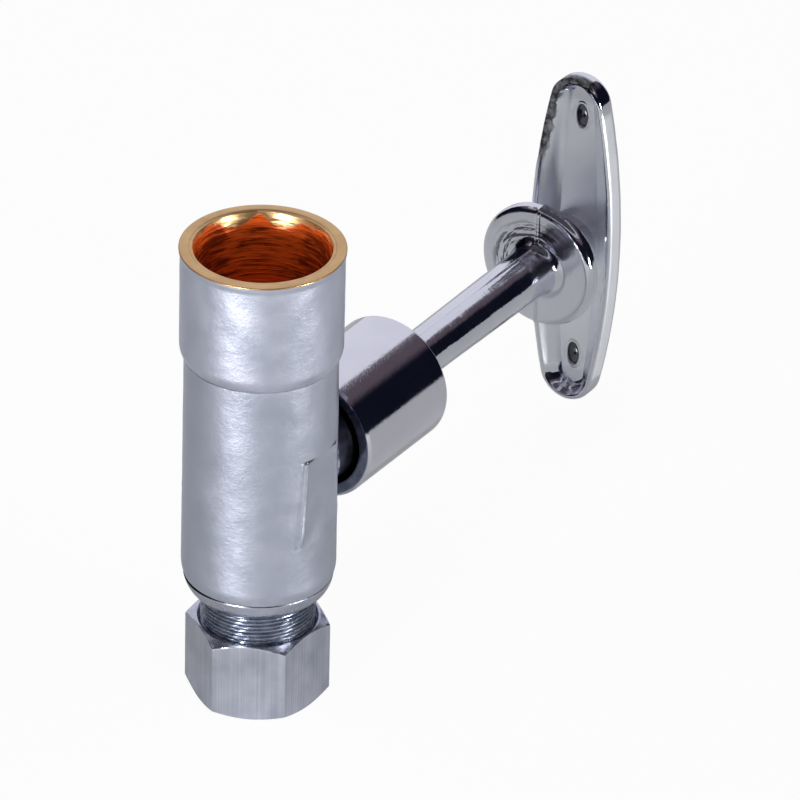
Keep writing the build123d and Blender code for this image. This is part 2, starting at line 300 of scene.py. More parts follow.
class Surface(Graph):
    """A material's node tree, with the position on the object at hand in millimetres."""

    def __init__(self, material: bpy.types.Material) -> None:
        """Starts the material's tree.

        Args:
            material: The material to fill.
        """
        material.use_nodes = True
        super().__init__(material.node_tree)
        sockets = {0: self.add("ShaderNodeTexCoord", output="Object"), "Scale": 1 / MM}
        self.place = self.add("ShaderNodeVectorMath", {"operation": "SCALE"}, sockets, "Vector")
        self.x, self.y, self.z = self.axes(self.place)

    def grain(self, size: float | Widths, detail: float = 2.0, vector: Signal | None = None) -> Signal:
        """Noise around 0, within about 0.5 each way.

        Args:
            size: Width of the noise's features in millimetres, or one for each axis.
            detail: Octaves of finer noise.
            vector: What the noise runs over, where it isn't the position.

        Returns:
            The noise.
        """
        widths = size if isinstance(size, tuple) else (size, size, size)
        sockets = {0: vector or self.place, 1: tuple(1 / width for width in widths)}
        scaled = self.add("ShaderNodeVectorMath", {"operation": "MULTIPLY"}, sockets, "Vector")
        sockets = {"Vector": scaled, "Scale": 1.0, "Detail": detail, "Roughness": 0.55}
        return self.add("ShaderNodeTexNoise", {"noise_dimensions": "3D"}, sockets) - 0.5

    def bump(self, height: Signal) -> Signal:
        """The normal that a height in millimetres gives."""
        sockets = {"Height": height * MM, "Distance": 1.0, "Strength": 1.0}
        return self.add("ShaderNodeBump", sockets=sockets, output="Normal")


class Grain(Enum):
    """Which way a metal surface is worked."""

    CAST = "cast"
    DRAWN_ALONG_PIPE = "drawn along the pipe"
    TURNED_ROUND_PIPE = "turned round the pipe"
    TURNED_ROUND_STEM = "turned round the stem"


STREAKS = {
    Grain.DRAWN_ALONG_PIPE: (0.42, 0.42, 90.0),
    Grain.TURNED_ROUND_PIPE: (60.0, 60.0, 0.12),
    Grain.TURNED_ROUND_STEM: (60.0, 0.12, 60.0),
}


@dataclass(frozen=True)
class Finish:
    """What every finish shares: a name, and one shader that its own sockets feed."""

    name: str

    def sockets(self, at: Surface) -> dict[str, Any]:
        """What feeds the shader, which each kind of finish gives for itself.

        Args:
            at: The place on the surface.

        Returns:
            Values and signals by the name of their socket.
        """
        raise NotImplementedError

    def material(self) -> bpy.types.Material:
        """The finish as a material."""
        material = bpy.data.materials.new(self.name)
        surface = Surface(material)
        shader = surface.add("ShaderNodeBsdfPrincipled", sockets=self.sockets(surface))
        surface.add("ShaderNodeOutputMaterial", sockets={"Surface": shader})
        return material


@dataclass(frozen=True)
class MetalFinish(Finish):
    """Bare or plated metal, with its colour clouds, worked grain and orange peel."""

    tint: Colour
    cloud_tint: Colour
    cloud_size: float
    roughness: float
    roughness_swing: float
    peel_size: Widths
    peel_height: float
    fine_size: float
    fine_height: float
    grain: Grain = Grain.CAST
    streak_height: float = 0.0
    streak_shade: float = 0.0

    def shaded(self, at: Surface, tint: Signal) -> Signal:
        """The tint with what only some pieces have, such as painted shade in a crease; nothing here.

        Args:
            at: The place on the surface.
            tint: The tint so far.

        Returns:
            The tint.
        """
        return tint

    def rougher(self, at: Surface, rough: Signal) -> Signal:
        """The roughness with what only some pieces have; nothing here.

        Args:
            at: The place on the surface.
            rough: The roughness so far.

        Returns:
            The roughness.
        """
        return rough

    def sockets(self, at: Surface) -> dict[str, Any]:
        """What feeds the shader: clouds in the tint, the worked grain and the peel.

        Args:
            at: The place on the surface.

        Returns:
            Values and signals by the name of their socket.
        """
        swing = self.roughness_swing
        clouds = at.grain(self.cloud_size, 3.0) * 2.2 + 0.5
        rough = clouds.clamped() * swing + at.grain(0.5) * (swing * 0.5)
        height = at.grain(self.peel_size, 1.0) * self.peel_height
        height = height + at.grain(self.fine_size, 1.0) * self.fine_height
        if self.grain in STREAKS:
            streaks = at.grain(STREAKS[self.grain], 3.0)
            height = height + streaks * self.streak_height
            rough = rough + streaks * (swing * 0.5)
            clouds = clouds + streaks * self.streak_shade
        return {
            "Base Color": self.shaded(at, at.blend(clouds.clamped(), self.tint, self.cloud_tint)),
            "Metallic": 1.0,
            "Roughness": self.rougher(at, rough + self.roughness).clamped(),
            "Normal": at.bump(height),
        }


@dataclass(frozen=True)
class ForgedPlate(MetalFinish):
    """Plate on the forging, with painted shade on the barrel, under the collar and along the pads' upper
    edges.
    """

    crease_z: float = 42.2
    pad_top_z: float = 26.9
    pad_distance: float = 12.5
    pad_end: float = 3.8
    crease_shade: Colour = (0.05, 0.05, 0.06)
    barrel_shade_tint: Colour = (0.42, 0.45, 0.53)

    def shaded(self, at: Surface, tint: Signal) -> Signal:
        """Paints shade: darkens the barrel, the crease above it and the ends of the pads' upper edges.

        Args:
            at: The place on the surface.
            tint: The tint so far.

        Returns:
            The darker tint.
        """
        ragged = at.grain((2.4, 2.4, 0.6), 3.0)
        # Painted shade in the crease under the collar, heavier towards the left.
        collar_crease_shade = abs(at.z - (self.crease_z - 0.05) + ragged * 0.12).step(0.17, 0.06)
        collar_crease_shade = collar_crease_shade * (0.62 + ragged - at.x * 0.03).clamped()
        # Painted shade along the pads' upper edges, heaviest towards their ends.
        on_pad = abs(at.x).step(self.pad_distance - 0.3, self.pad_distance)
        pad_edge_shade = abs(at.z - (self.pad_top_z - 0.02) + ragged * 0.3).step(0.42, 0.2) * on_pad
        ends = abs(abs(at.y) - self.pad_end + ragged).step(1.7, 0.9)
        # Painted shade: the barrel below the collar takes a darker tint than the collar.
        tint = at.blend(at.z.step(self.crease_z, self.crease_z - 0.4) * 0.5, tint, self.barrel_shade_tint)
        return at.blend((collar_crease_shade + pad_edge_shade * ends * 0.9).clamped(), tint, self.crease_shade)


@dataclass(frozen=True)
class CastPlate(MetalFinish):
    """Plate on the cast handle: satin in the plate's tray, with painted light in the tray, painted dark
    reflections on the disc and the bevel, and painted shade in the holes.
    """

    stem_z: float = 17.6
    disc_start: float = 87.2
    disc_roughness: float = 0.1
    tray_start: float = 98.4
    tray_half_length: float = 27.5
    tray_roughness: float = 0.33
    tray_light_tint: Colour = (0.93, 0.95, 1.0)
    hole_height: float = 24.8
    half_width: float = 8.65
    end_centre: float = 27.6
    end_radius: float = 5.6
    side_centre: float = 123.35
    bevel_reflection_tint: Colour = (0.06, 0.06, 0.065)
    disc_and_hole_shade: Colour = (0.05, 0.05, 0.06)

    def tray(self, at: Surface) -> Signal:
        """How much a place lies in the plate's tray, away from its ends."""
        start, end = self.tray_start, self.tray_half_length
        deep = at.y.between(start + 0.05, start + 0.5, start + 2.9, start + 3.4)
        return deep * abs(at.z - self.stem_z).step(end + 1.0, end - 1.0)

    def disc_shade_streaks(self, at: Surface) -> Signal:
        """Painted dark reflection in streaks on the disc's front, drawn towards the rod on its upper left.

        Args:
            at: The place on the surface.

        Returns:
            How much painted dark reflection a place gets.
        """
        rise, start = at.z - self.stem_z, self.disc_start
        off_stem = at.x.hypot(rise)
        polar = at.add("ShaderNodeCombineXYZ", sockets={0: off_stem * 3.0, 1: at.x, 2: at.z})
        dark_streaks = at.grain((1.7, 3.4, 3.4), 3.0, polar).step(0.0, 0.05)
        front = at.y.between(start - 2.0, start - 1.0, start + 0.1, start + 0.35)
        return dark_streaks * front * off_stem.step(10.0, 7.6) * (rise - at.x).step(0.6, 3.4)

    def holes(self, at: Surface) -> Signal:
        """How much a place lies deep in one of the plate's holes, where shade is painted."""
        to_hole, start = abs(at.z - self.stem_z) - self.hole_height, self.tray_start
        by_hole = (at.x * at.x + to_hole * to_hole).step(6.5, 4.5)
        return by_hole * at.y.between(start + 2.7, start + 3.3, start + 4.2, start + 4.6)

    def bevel_reflection(self, at: Surface) -> Signal:
        """How much painted dark reflection the ragged bevel on the plate's upper left end gets.

        Args:
            at: The place on the surface.

        Returns:
            How dark a place is painted.
        """
        rise = at.z - self.stem_z
        ragged = at.grain(1.6, 3.0)
        from_end = at.x.hypot(rise - self.end_centre) * -1 + self.end_radius
        from_side = (at.x - self.side_centre).hypot(rise) * -1 + self.side_centre + self.half_width
        inset = from_end.maths("MAXIMUM", (self.end_centre - rise) * 100.0).maths("MINIMUM", from_side)
        dark_bevel = (inset + ragged * 1.8).step(1.9, 1.6) * (rise + at.x * -1.2).step(21.0, 26.0)
        dark_bevel = dark_bevel * at.x.step(4.4, 2.4) * at.y.step(self.tray_start + 2.6, self.tray_start + 1.8)
        return dark_bevel * (0.85 + ragged * 1.6).clamped()

    def shaded(self, at: Surface, tint: Signal) -> Signal:
        """Adds painted light in the tray, painted dark reflections in streaks on the disc and on the bevel,
        and painted shade in the holes.

        Args:
            at: The place on the surface.
            tint: The tint so far.

        Returns:
            The tint.
        """
        # Painted light: a lighter tint in the tray.
        tint = at.blend(self.tray(at), tint, self.tray_light_tint)
        # Painted dark reflection in streaks on the disc's upper left, by the rod.
        tint = at.blend(self.disc_shade_streaks(at) * 0.9, tint, self.disc_and_hole_shade)
        # Painted shade deep in the holes.
        tint = at.blend(self.holes(at) * 0.9, tint, self.disc_and_hole_shade)
        # Painted dark reflection on the ragged bevel, in patches.
        return at.blend(self.bevel_reflection(at), tint, self.bevel_reflection_tint)

    def rougher(self, at: Surface, rough: Signal) -> Signal:
        """Dulls the tray and, less, the disc's front.

        Args:
            at: The place on the surface.
            rough: The roughness so far.

        Returns:
            The roughness.
        """
        start = self.disc_start
        disc = at.y.between(start - 0.6, start - 0.2, start + 0.1, start + 0.35)
        return rough + self.tray(at) * self.tray_roughness + disc * self.disc_roughness


@dataclass(frozen=True)
class SleevePlate(MetalFinish):
    """Plate on the sleeve, with painted shade on the end that faces the pipe and in the bore."""

    stem_z: float = 17.6
    near_end: float = 16.4
    bore_radius: float = 9.5
    shade: Colour = (0.16, 0.17, 0.22)

    def shaded(self, at: Surface, tint: Signal) -> Signal:
        """Paints shade on the near end's face and in the bore.

        Args:
            at: The place on the surface.
            tint: The tint so far.

        Returns:
            The darker tint.
        """
        off_stem = at.x.hypot(at.z - self.stem_z)
        bore = off_stem.step(self.bore_radius + 0.3, self.bore_radius + 0.1)
        face = off_stem.step(self.bore_radius + 1.9, self.bore_radius + 1.5)
        face = face * at.y.step(self.near_end + 0.12, self.near_end + 0.05)
        # Painted shade on the near end's face, in patches, and in the bore.
        return at.blend((bore + face * (0.85 + at.grain(3.0))).clamped(), tint, self.shade)


@dataclass(frozen=True)
class ThreadedPlate(MetalFinish):
    """Plate on the turned end, with painted shade where the thread is cut and black painted shade in the open
    seam.
    """

    thread_top: float = -4.2
    seam_z: float = -0.7
    seam_open_angle: float = 213.0
    outer_radius: float = 13.0
    shade: Colour = (0.16, 0.19, 0.25)
    seam_shade: Colour = (0.02, 0.02, 0.025)

    def shaded(self, at: Surface, tint: Signal) -> Signal:
        """Paints shade on the threaded neck, in patches, and in the seam above the flange.

        Args:
            at: The place on the surface.
            tint: The tint so far.

        Returns:
            The darker tint.
        """
        patches = at.grain((2.2, 2.2, 1.1), 3.0)
        # Painted shade on the threaded neck below the flange, in patches.
        dark = (self.thread_top - at.z).step(-0.05, 0.25) * (0.66 + patches * 1.8).clamped()
        tint = at.blend(dark, tint, self.shade)
        beads = at.grain((0.8, 0.8, 4.0))
        angle = math.radians(self.seam_open_angle)
        toward = at.x * math.cos(angle) + at.y * math.sin(angle)
        open_side = (toward / self.outer_radius).clamped() ** 3.0
        # Painted shade in the seam above the flange, heavier on its open side.
        in_seam_shade = (at.z + open_side * 0.6).step(self.seam_z - 0.34, self.seam_z - 0.14)
        return at.blend(in_seam_shade * (0.9 - beads * 1.5 + open_side).clamped(), tint, self.seam_shade)


@dataclass(frozen=True)
class SocketBrass(Finish):
    """Raw brass that was turned and never plated, with painted shade that makes it redder and darker down the
    bore.
    """

    rim_z: float
    rim_tint: Colour = (0.84, 0.56, 0.28)
    worn_tint: Colour = (0.60, 0.37, 0.17)
    line_shade_tint: Colour = (0.30, 0.16, 0.07)
    bore_tint: Colour = (1.0, 0.15, 0.02)
    deep_shade_tint: Colour = (1.0, 0.08, 0.006)
    marks_and_shade_tint: Colour = (0.09, 0.008, 0.004)
    pale_and_reflection_tint: Colour = (0.86, 0.60, 0.28)
    reflection_patches: tuple[tuple[float, float], ...] = ((238.0, 3.4), (198.0, 5.6))
    unshaded_azimuth: float = 212.0
    mouth_radius: float = 11.85
    step_radius: float = 12.45
    edge_radius: float = 14.02
    roughness: float = 0.24

    def toward(self, at: Surface, azimuth: float) -> Signal:
        """How far a place lies towards an azimuth, as a share of the mouth's radius."""
        facing = direction(azimuth, 0.0)
        return (at.x * facing.x + at.y * facing.y) / self.mouth_radius

    def sockets(self, at: Surface) -> dict[str, Any]:
        """What feeds the shader: painted shade in lines at the rim's step and edge, the bore's rings with
        painted shade, and the pale metal at its mouth with painted reflections.

        Args:
            at: The place on the surface.

        Returns:
            Values and signals by the name of their socket.
        """
        depth, off_axis = self.rim_z - at.z, at.x.hypot(at.y)
        rings = at.grain((5.0, 5.0, 0.7), 3.0)
        fine_rings = at.grain((9.0, 9.0, 0.16))
        stain = at.grain((3.5, 3.5, 2.2), 3.0)
        within = (at.x * at.x + at.y * at.y).step(self.mouth_radius**2 + 0.6, self.mouth_radius**2 - 0.6)
        # Pale metal near the mouth, with painted reflections of the lamps reaching down the back wall at two
        # azimuths.
        reach = stain * 4.0 + 0.4
        for azimuth, down_to in self.reflection_patches:
            reach = reach + self.toward(at, azimuth).step(0.94, 0.985) * down_to
        pale = (reach - depth).step(-0.5, 0.3)
        # Painted shade along the rim's step and its outer edge.
        lines = abs(off_axis - self.step_radius + stain * 0.15).step(0.14, 0.05) * 0.45
        lines = lines + off_axis.step(self.edge_radius, self.edge_radius + 0.11) * 0.6
        tint = at.blend(stain * 0.9 + 0.35, self.rim_tint, self.worn_tint)
        tint = at.blend(lines * (0.8 + stain * 2.0).clamped(), tint, self.line_shade_tint)
        tint = at.blend((depth + stain * 1.6 + 0.9).step(0.3, 1.6) * within, tint, self.bore_tint)
        # Painted shade: redder and darker towards the bottom of the bore.
        tint = at.blend((depth + stain * 6.0).step(6.0, 18.0) * within, tint, self.deep_shade_tint)
        # Painted dark reflections on the bore's walls, less on the back wall at the unshaded azimuth, from a
        # little way down.
        side_shade = (self.toward(at, self.unshaded_azimuth) + stain * 0.9).step(0.92, 0.62) * depth.step(0.6, 3.0)
        # Rings of the turning tool, with the painted dark reflections in the same tint.
        marks_and_shade = (rings * 4.5 + fine_rings * 3.0 + 0.12 + side_shade * 0.75).clamped() * within
        tint = at.blend(marks_and_shade * 0.85, tint, self.marks_and_shade_tint)
        rough = stain * 0.16 + fine_rings * 0.1 + self.roughness
        return {
            "Base Color": at.blend(pale * within, tint, self.pale_and_reflection_tint),
            "Metallic": 1 - within * (1 - pale) * 0.66,
            "Roughness": (rough + (1 - within) * 0.14 + pale * within * 0.08).clamped(),
            "Normal": at.bump((rings * 0.2 + fine_rings * 0.02) * within + at.grain(0.6) * 0.004),
        }


@dataclass(frozen=True)
class SealFinish(Finish):
    """Moulded rubber or sealing plastic, with mottling and a fine moulded grain."""

    tint: Colour
    mottle: Colour
    roughness: float

    def sockets(self, at: Surface) -> dict[str, Any]:
        """What feeds the shader: the mottling and the grain.

        Args:
            at: The place on the surface.

        Returns:
            Values and signals by the name of their socket.
        """
        mottle = (at.grain(1.8, 3.0) * 2.0 + 0.5).clamped()
        return {
            "Base Color": at.blend(mottle, self.tint, self.mottle),
            "Roughness": (mottle * 0.15 + self.roughness).clamped(),
            "Normal": at.bump(at.grain(0.35) * 0.01),
        }


# Meshes


def lumps(points: np.ndarray, size: float, height: float, seed: float) -> np.ndarray:
    """Smooth noise at each point.

    Args:
        points: Places in millimetres, one a row.
        size: Width of a lump.
        height: Height of a lump either way.
        seed: Shifts the noise, so that pieces differ.

    Returns:
        The height at each point.
    """
    shifted = points / size + seed
    return np.array([noise.noise(Vector(p)) for p in shifted]) * height


def smooth(values: np.ndarray, low: float, high: float) -> np.ndarray:
    """Smooth step of the values from 0 at low to 1 at high."""
    share = np.clip((values - low) / (high - low), 0.0, 1.0)
    return share * share * (3 - 2 * share)


def arc(
    centre: tuple[float, float], radius: float, start: float, end: float, steps: int
) -> list[tuple[float, float]]:
    """Points along an arc.

    Args:
        centre: The arc's centre.
        radius: Its radius.
        start: Angle of the first point in degrees.
        end: Angle of the last point in degrees.
        steps: Number of stretches.

    Returns:
        The points, both ends included.
    """
    angles = np.radians(np.linspace(start, end, steps + 1))
    return [(centre[0] + radius * math.cos(a), centre[1] + radius * math.sin(a)) for a in angles]


def curved_in(
    radius: float, top: float, inset: float, height: float, steps: int
) -> list[tuple[float, float]]:
    """An arc that starts straight down at a radius and comes in on the way.

    Args:
        radius: Radius at its top.
        top: Height of its top.
        inset: How far in it comes.
        height: How far down it goes.
        steps: Number of stretches.

    Returns:
        The points, each a radius and a height.
    """
    bend = (inset**2 + height**2) / (2 * inset)
    sweep = math.degrees(math.asin(min(1.0, height / bend)))
    return arc((radius - bend, top), bend, 0, -sweep, steps)


def divided(points: Sequence[tuple[float, float]], longest: float) -> np.ndarray:
    """The outline with more points where its runs are long.

    Args:
        points: Corners of the outline, in order.
        longest: The longest run that is left.

    Returns:
        The points, one a row.
    """
    made = [np.array(points[0], float)]
    for start, end in zip(points, points[1:]):
        start_point, end_point = np.array(start, float), np.array(end, float)
        count = max(1, math.ceil(np.linalg.norm(end_point - start_point) / longest))
        made += [start_point + (end_point - start_point) * i / count for i in range(1, count + 1)]
    return np.array(made)


class Axis(Enum):
    """What a turned piece is turned about."""

    PIPE = "pipe"
    STEM = "stem"


class PieceMesh:
    """Points and faces of one piece in millimetres, before they become an object."""

    def __init__(self, name: str) -> None:
        """Starts an empty piece.

        Args:
            name: The piece's name.
        """
        self.name = name
        self.blocks: list[np.ndarray] = []
        self.faces: list[tuple[int, ...]] = []
        self.count = 0

    def points(self, block: np.ndarray) -> int:
        """Adds points.

        Args:
            block: The points, one a row.

        Returns:
            The number of the first one.
        """
        first = self.count
        self.blocks.append(np.asarray(block, float).reshape(-1, 3))
        self.count += len(self.blocks[-1])
        return first

    def band(self, rows: np.ndarray, closed: bool = False) -> None:
        """Adds rows of points, each closed on itself, with quads between neighbours.

        Args:
            rows: Rows by columns by three.
            closed: Whether the last row also joins the first.
        """
        height, width = rows.shape[:2]
        first = self.points(rows)
        for row in range(height if closed else height - 1):
            above, below = first + row * width, first + (row + 1) % height * width
            for column in range(width):
                after = (column + 1) % width
                self.faces.append((above + column, below + column, below + after, above + after))

    def object(self, sharp: float) -> bpy.types.Object:
        """Makes the Blender object, with its faces turned to look outwards.

        Args:
            sharp: Edges sharper than this many degrees stay sharp.

        Returns:
            The object, in metres.
        """
        mesh = bpy.data.meshes.new(self.name)
        mesh.from_pydata((np.concatenate(self.blocks) * MM).tolist(), [], self.faces)
        mesh.validate()
        work = bmesh.new()
        work.from_mesh(mesh)
        bmesh.ops.recalc_face_normals(work, faces=work.faces)
        work.to_mesh(mesh)
        work.free()
        mesh.shade_smooth()
        mesh.set_sharp_from_angle(angle=math.radians(sharp))
        made = bpy.data.objects.new(self.name, mesh)
        bpy.context.scene.collection.objects.link(made)
        return made


def seat(piece: bpy.types.Object, material: bpy.types.Material, body: str, node: str) -> None:
    """Finishes a made piece and hangs it on its body.

    Args:
        piece: The made piece.
        material: Its finish.
        body: The body that it moves with.
        node: The node that it stands for.
    """
    piece.data.materials.append(material)
    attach(piece, body)
    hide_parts(node)
    log.info("%s: %d faces, stands for %s", piece.name, len(piece.data.polygons), node)


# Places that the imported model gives


@dataclass(frozen=True)
class Places:
    """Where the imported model's pieces start and end, in millimetres."""

    rim_z: float
    seam_z: float
    neck_end: float
    stem_z: float
    connector_top_z: float
    mouth_z: float
    nut_top_z: float
    nut_low_z: float
    rod_start: float
    plate_end: float

    @classmethod
    def of(cls, frame: Mapping[str, Any]) -> Places:
        """Reads the places from the frame.


        Returns:
            The places.
        """
        low, high = {}, {}
        for node in ("valve_body", "end_connector", "compression_nut", "t_handle"):
            low[node], high[node] = (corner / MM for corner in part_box(node))
        hinge = next(joint for joint in frame["joints"] if joint["name"] == "handle_turn")
        return cls(
            rim_z=high["valve_body"].z,
            seam_z=low["valve_body"].z,
            neck_end=high["valve_body"].y,
            stem_z=hinge["pos_m"][2] / MM,
            connector_top_z=high["end_connector"].z,
            mouth_z=low["end_connector"].z,
            nut_top_z=high["compression_nut"].z,
            nut_low_z=low["compression_nut"].z,
            rod_start=low["t_handle"].y,
            plate_end=high["t_handle"].y,
        )


def turned(profile: np.ndarray, angles: np.ndarray, axis: Axis, stem_z: float) -> np.ndarray:
    """Rows of points of a turned surface.

    Args:
        profile: Radius and distance along the axis, one pair a row.
        angles: Angles of the columns in radians.
        axis: What it is turned about.
        stem_z: Height of the stem's axis.

    Returns:
        Rows by columns by three.
    """
    radius, along = profile[:, :1], profile[:, 1:]
    across, up = radius * np.cos(angles), radius * np.sin(angles)
    run = along + np.zeros_like(across)
    if axis is Axis.PIPE:
        return np.stack([across, up, run], axis=2)
    return np.stack([across, run, up + stem_z], axis=2)


def even_angles(count: int) -> np.ndarray:
    """Evenly spread angles of a full turn, in radians."""
    return np.arange(count) * FULL_TURN / count


# Body


@dataclass
class Barrel:
    """Plated forging: collar, barrel with its spanner pads, and the neck that carries the stem."""

    places: Places
    collar_radius: float = 14.0
    collar_height: float = 20.8
    lip_radius: float = 14.18
    plated_below_rim: float = 0.27
    barrel_top_radius: float = 13.2
    barrel_low_radius: float = 13.4
    shoulder_height: float = 2.4
    crease_width: float = 0.22
    crease_depth: float = 0.01
    edge_height: float = 2.2
    edge_inset: float = 0.4
    pad_distance: float = 12.7
    pad_half_width: float = 5.2
    pad_above_stem: float = 9.3
    pad_below_stem: float = 7.2
    pad_softness: float = 0.2
    pad_rows: tuple[float, ...] = (-0.34, -0.22, -0.11, 0.04, 0.15, 0.27)
    pad_run_out: float = 3.2
    pad_taper: float = 1.1
    burr_spacing: float = 0.95
    burr_width: float = 0.22
    burr_height: float = 0.16
    second_burr: float = 0.7
    burr_lump_size: float = 0.9
    burr_lump_height: float = 0.5
    burr_seed: float = 21.0
    cavity_radius: float = 9.7
    thread_radius: float = 11.25
    liner_radius: float = 12.55
    throat_above_stem: float = 9.25
    neck_radius: float = 8.2
    neck_fillet: float = 1.1
    neck_root: float = 9.4
    gland_radius: float = 6.5
    gland_floor: float = 23.2
    packing_radius: float = 5.6
    packing_floor: float = 15.6
    stem_hole_radius: float = 3.54
    washer_radius: float = 5.4
    washer_floor: float = 12.4
    stop_height: float = 3.1
    stop_clearance: float = 1.1
    columns: int = 288
    crowding: float = 5.0
    crowd_width: float = 0.09
    neck_columns: int = 192
    lump_size: float = 4.2
    lump_height: float = 0.03
    lump_seed: float = 3.1
    ripple_size: float = 1.5
    ripple_height: float = 0.006
    ripple_seed: float = 7.7

    def profile(self) -> np.ndarray:
        """Radius and height down the outside, without the pads."""
        top = self.places.rim_z - self.plated_below_rim
        collar_z = self.places.rim_z - self.collar_height
        step = self.collar_radius - self.barrel_top_radius
        shoulder_z = collar_z + self.shoulder_height
        shoulder = curved_in(self.collar_radius, shoulder_z, step, self.shoulder_height, 10)
        crease = [
            (self.barrel_top_radius - self.crease_depth, collar_z - self.crease_width * 0.3),
            (self.barrel_top_radius, collar_z - self.crease_width),
        ]
        edge_z = self.places.seam_z + self.edge_height
        edge = curved_in(self.barrel_low_radius, edge_z, self.edge_inset, self.edge_height, 8)
        lip = [(self.lip_radius, top), (self.lip_radius, top - 0.4), (self.collar_radius, top - 0.8)]
        coarse = divided([*lip, *shoulder, *crease, *edge], 0.5)
        pad_ends = (self.places.stem_z + self.pad_above_stem, self.places.stem_z - self.pad_below_stem)
        extra = [z + offset for z in pad_ends for offset in self.pad_rows]
        radii = np.interp(extra, coarse[::-1, 1], coarse[::-1, 0])
        rows = np.concatenate([coarse, np.stack([radii, extra], axis=1)])
        return rows[np.argsort(-rows[:, 1], kind="stable")]

    def angles(self) -> np.ndarray:
        """Angles of the columns in radians, closer together where the pads' long edges run."""
        even = np.linspace(0, FULL_TURN, 7201)
        edge = math.asin(self.pad_half_width / self.pad_distance)
        crowd = np.ones_like(even)
        for place in (edge, math.pi - edge, math.pi + edge, FULL_TURN - edge):
            crowd += self.crowding * np.exp(-(((even - place) / self.crowd_width) ** 2))
        share = np.concatenate([[0.0], np.cumsum(crowd[:-1])])
        return np.interp(np.arange(self.columns) / self.columns, share / share[-1], even)

    def outside(self, profile: np.ndarray, angles: np.ndarray) -> np.ndarray:
        """Points of the outside, with pads, neck fillet and the casting's lumps.

        Args:
            profile: Radius and height, one pair a row.
            angles: Angles of the columns in radians.

        Returns:
            Rows by columns by three.
        """
        radius, z = profile[:, :1] + 0 * angles, profile[:, 1:] + 0 * angles
        soft = self.pad_softness
        side = np.abs(radius * np.sin(angles))
        above = z - self.places.stem_z
        risen = np.clip((above + self.pad_below_stem) / (self.pad_above_stem + self.pad_below_stem), 0, 1)
        half_width = self.pad_half_width - self.pad_taper * risen
        on_pad = smooth(side, half_width + soft, half_width - soft)
        on_pad *= smooth(above, self.pad_above_stem + soft, self.pad_above_stem - soft)
        on_pad *= smooth(above, -self.pad_below_stem - 3 * soft, -self.pad_below_stem + self.pad_run_out)
        flat = self.pad_distance / np.maximum(np.abs(np.cos(angles)), 0.3)
        radius = radius + (flat - radius) * on_pad
        off_neck = np.hypot(radius * np.cos(angles), above) - self.neck_radius
        foot = np.clip(1 - off_neck / self.neck_fillet, 0, 1) * (np.sin(angles) > 0)
        radius = radius + self.neck_fillet * (1 - np.sqrt(1 - foot**2))
        burr = np.exp(-(((side - half_width) / self.burr_width) ** 2))
        burr += self.second_burr * np.exp(-(((side - half_width - self.burr_spacing) / self.burr_width) ** 2))
        burr *= smooth(above, self.pad_above_stem + 0.2, self.pad_above_stem - 0.5)
        burr *= smooth(above, -self.pad_below_stem - 0.2, -self.pad_below_stem + 0.6)
        burr *= np.abs(np.cos(angles)) > 0.7
        points = np.stack([radius * np.cos(angles), radius * np.sin(angles), z], axis=2)
        flat_points = points.reshape(-1, 3)
        ragged = lumps(flat_points, self.burr_lump_size, self.burr_lump_height, self.burr_seed)
        radius = radius + burr * (0.75 + ragged.reshape(radius.shape)) * self.burr_height
        rough = lumps(flat_points, self.lump_size, self.lump_height, self.lump_seed)
        rough += lumps(flat_points, self.ripple_size, self.ripple_height, self.ripple_seed)
        radius = radius + rough.reshape(radius.shape)
        return np.stack([radius * np.cos(angles), radius * np.sin(angles), z], axis=2)

    def shell(self) -> bpy.types.Object:
        """The forging's wall, left open where the neck's bore passes through it."""
        angles = self.angles()
        profile = self.profile()
        outside = self.outside(profile, angles)
        z = profile[:, 1]
        throat_z = self.places.stem_z + self.throat_above_stem
        inner = np.where(z > throat_z, self.liner_radius, self.cavity_radius)
        inner = np.where(z < self.places.connector_top_z + 0.2, self.thread_radius, inner)
        inside = turned(np.stack([inner, z], axis=1), angles, Axis.PIPE, self.places.stem_z)
        piece = PieceMesh("body_forging")
        first_out = piece.points(outside)
        first_in = piece.points(inside)
        rows, columns = outside.shape[:2]
        middle = (outside[:-1] + np.roll(outside, -1, axis=1)[1:]) / 2
        off_stem = np.hypot(middle[:, :, 0], middle[:, :, 2] - self.places.stem_z)
        cut = (off_stem < self.neck_radius - 1.0) & (middle[:, :, 1] > 0)

        def corner(first: int, row: int, column: int) -> int:
            """Number of a grid point."""
            return first + row * columns + column % columns

        for row in range(rows - 1):
            for column in range(columns):
                ring = [(row, column), (row + 1, column), (row + 1, column + 1), (row, column + 1)]
                if not cut[row, column]:
                    piece.faces.append(tuple(corner(first_out, *p) for p in ring))
                    piece.faces.append(tuple(corner(first_in, *p) for p in reversed(ring)))
                    continue
                left, right = (row, column - 1), (row, (column + 1) % columns)
                beside = [left, (row + 1, column), right, (row - 1, column)]
                for number, (near_row, near_column) in enumerate(beside):
                    if not cut[near_row, near_column]:
                        start, end = ring[number], ring[(number + 1) % 4]
                        wall = (corner(first_out, *start), corner(first_out, *end))
                        piece.faces.append((*wall, corner(first_in, *end), corner(first_in, *start)))
        for row in (0, rows - 1):
            for column in range(columns):
                edge = (corner(first_out, row, column), corner(first_out, row, column + 1))
                back = (corner(first_in, row, column + 1), corner(first_in, row, column))
                piece.faces.append((*edge, *back))
        return piece.object(sharp=40)

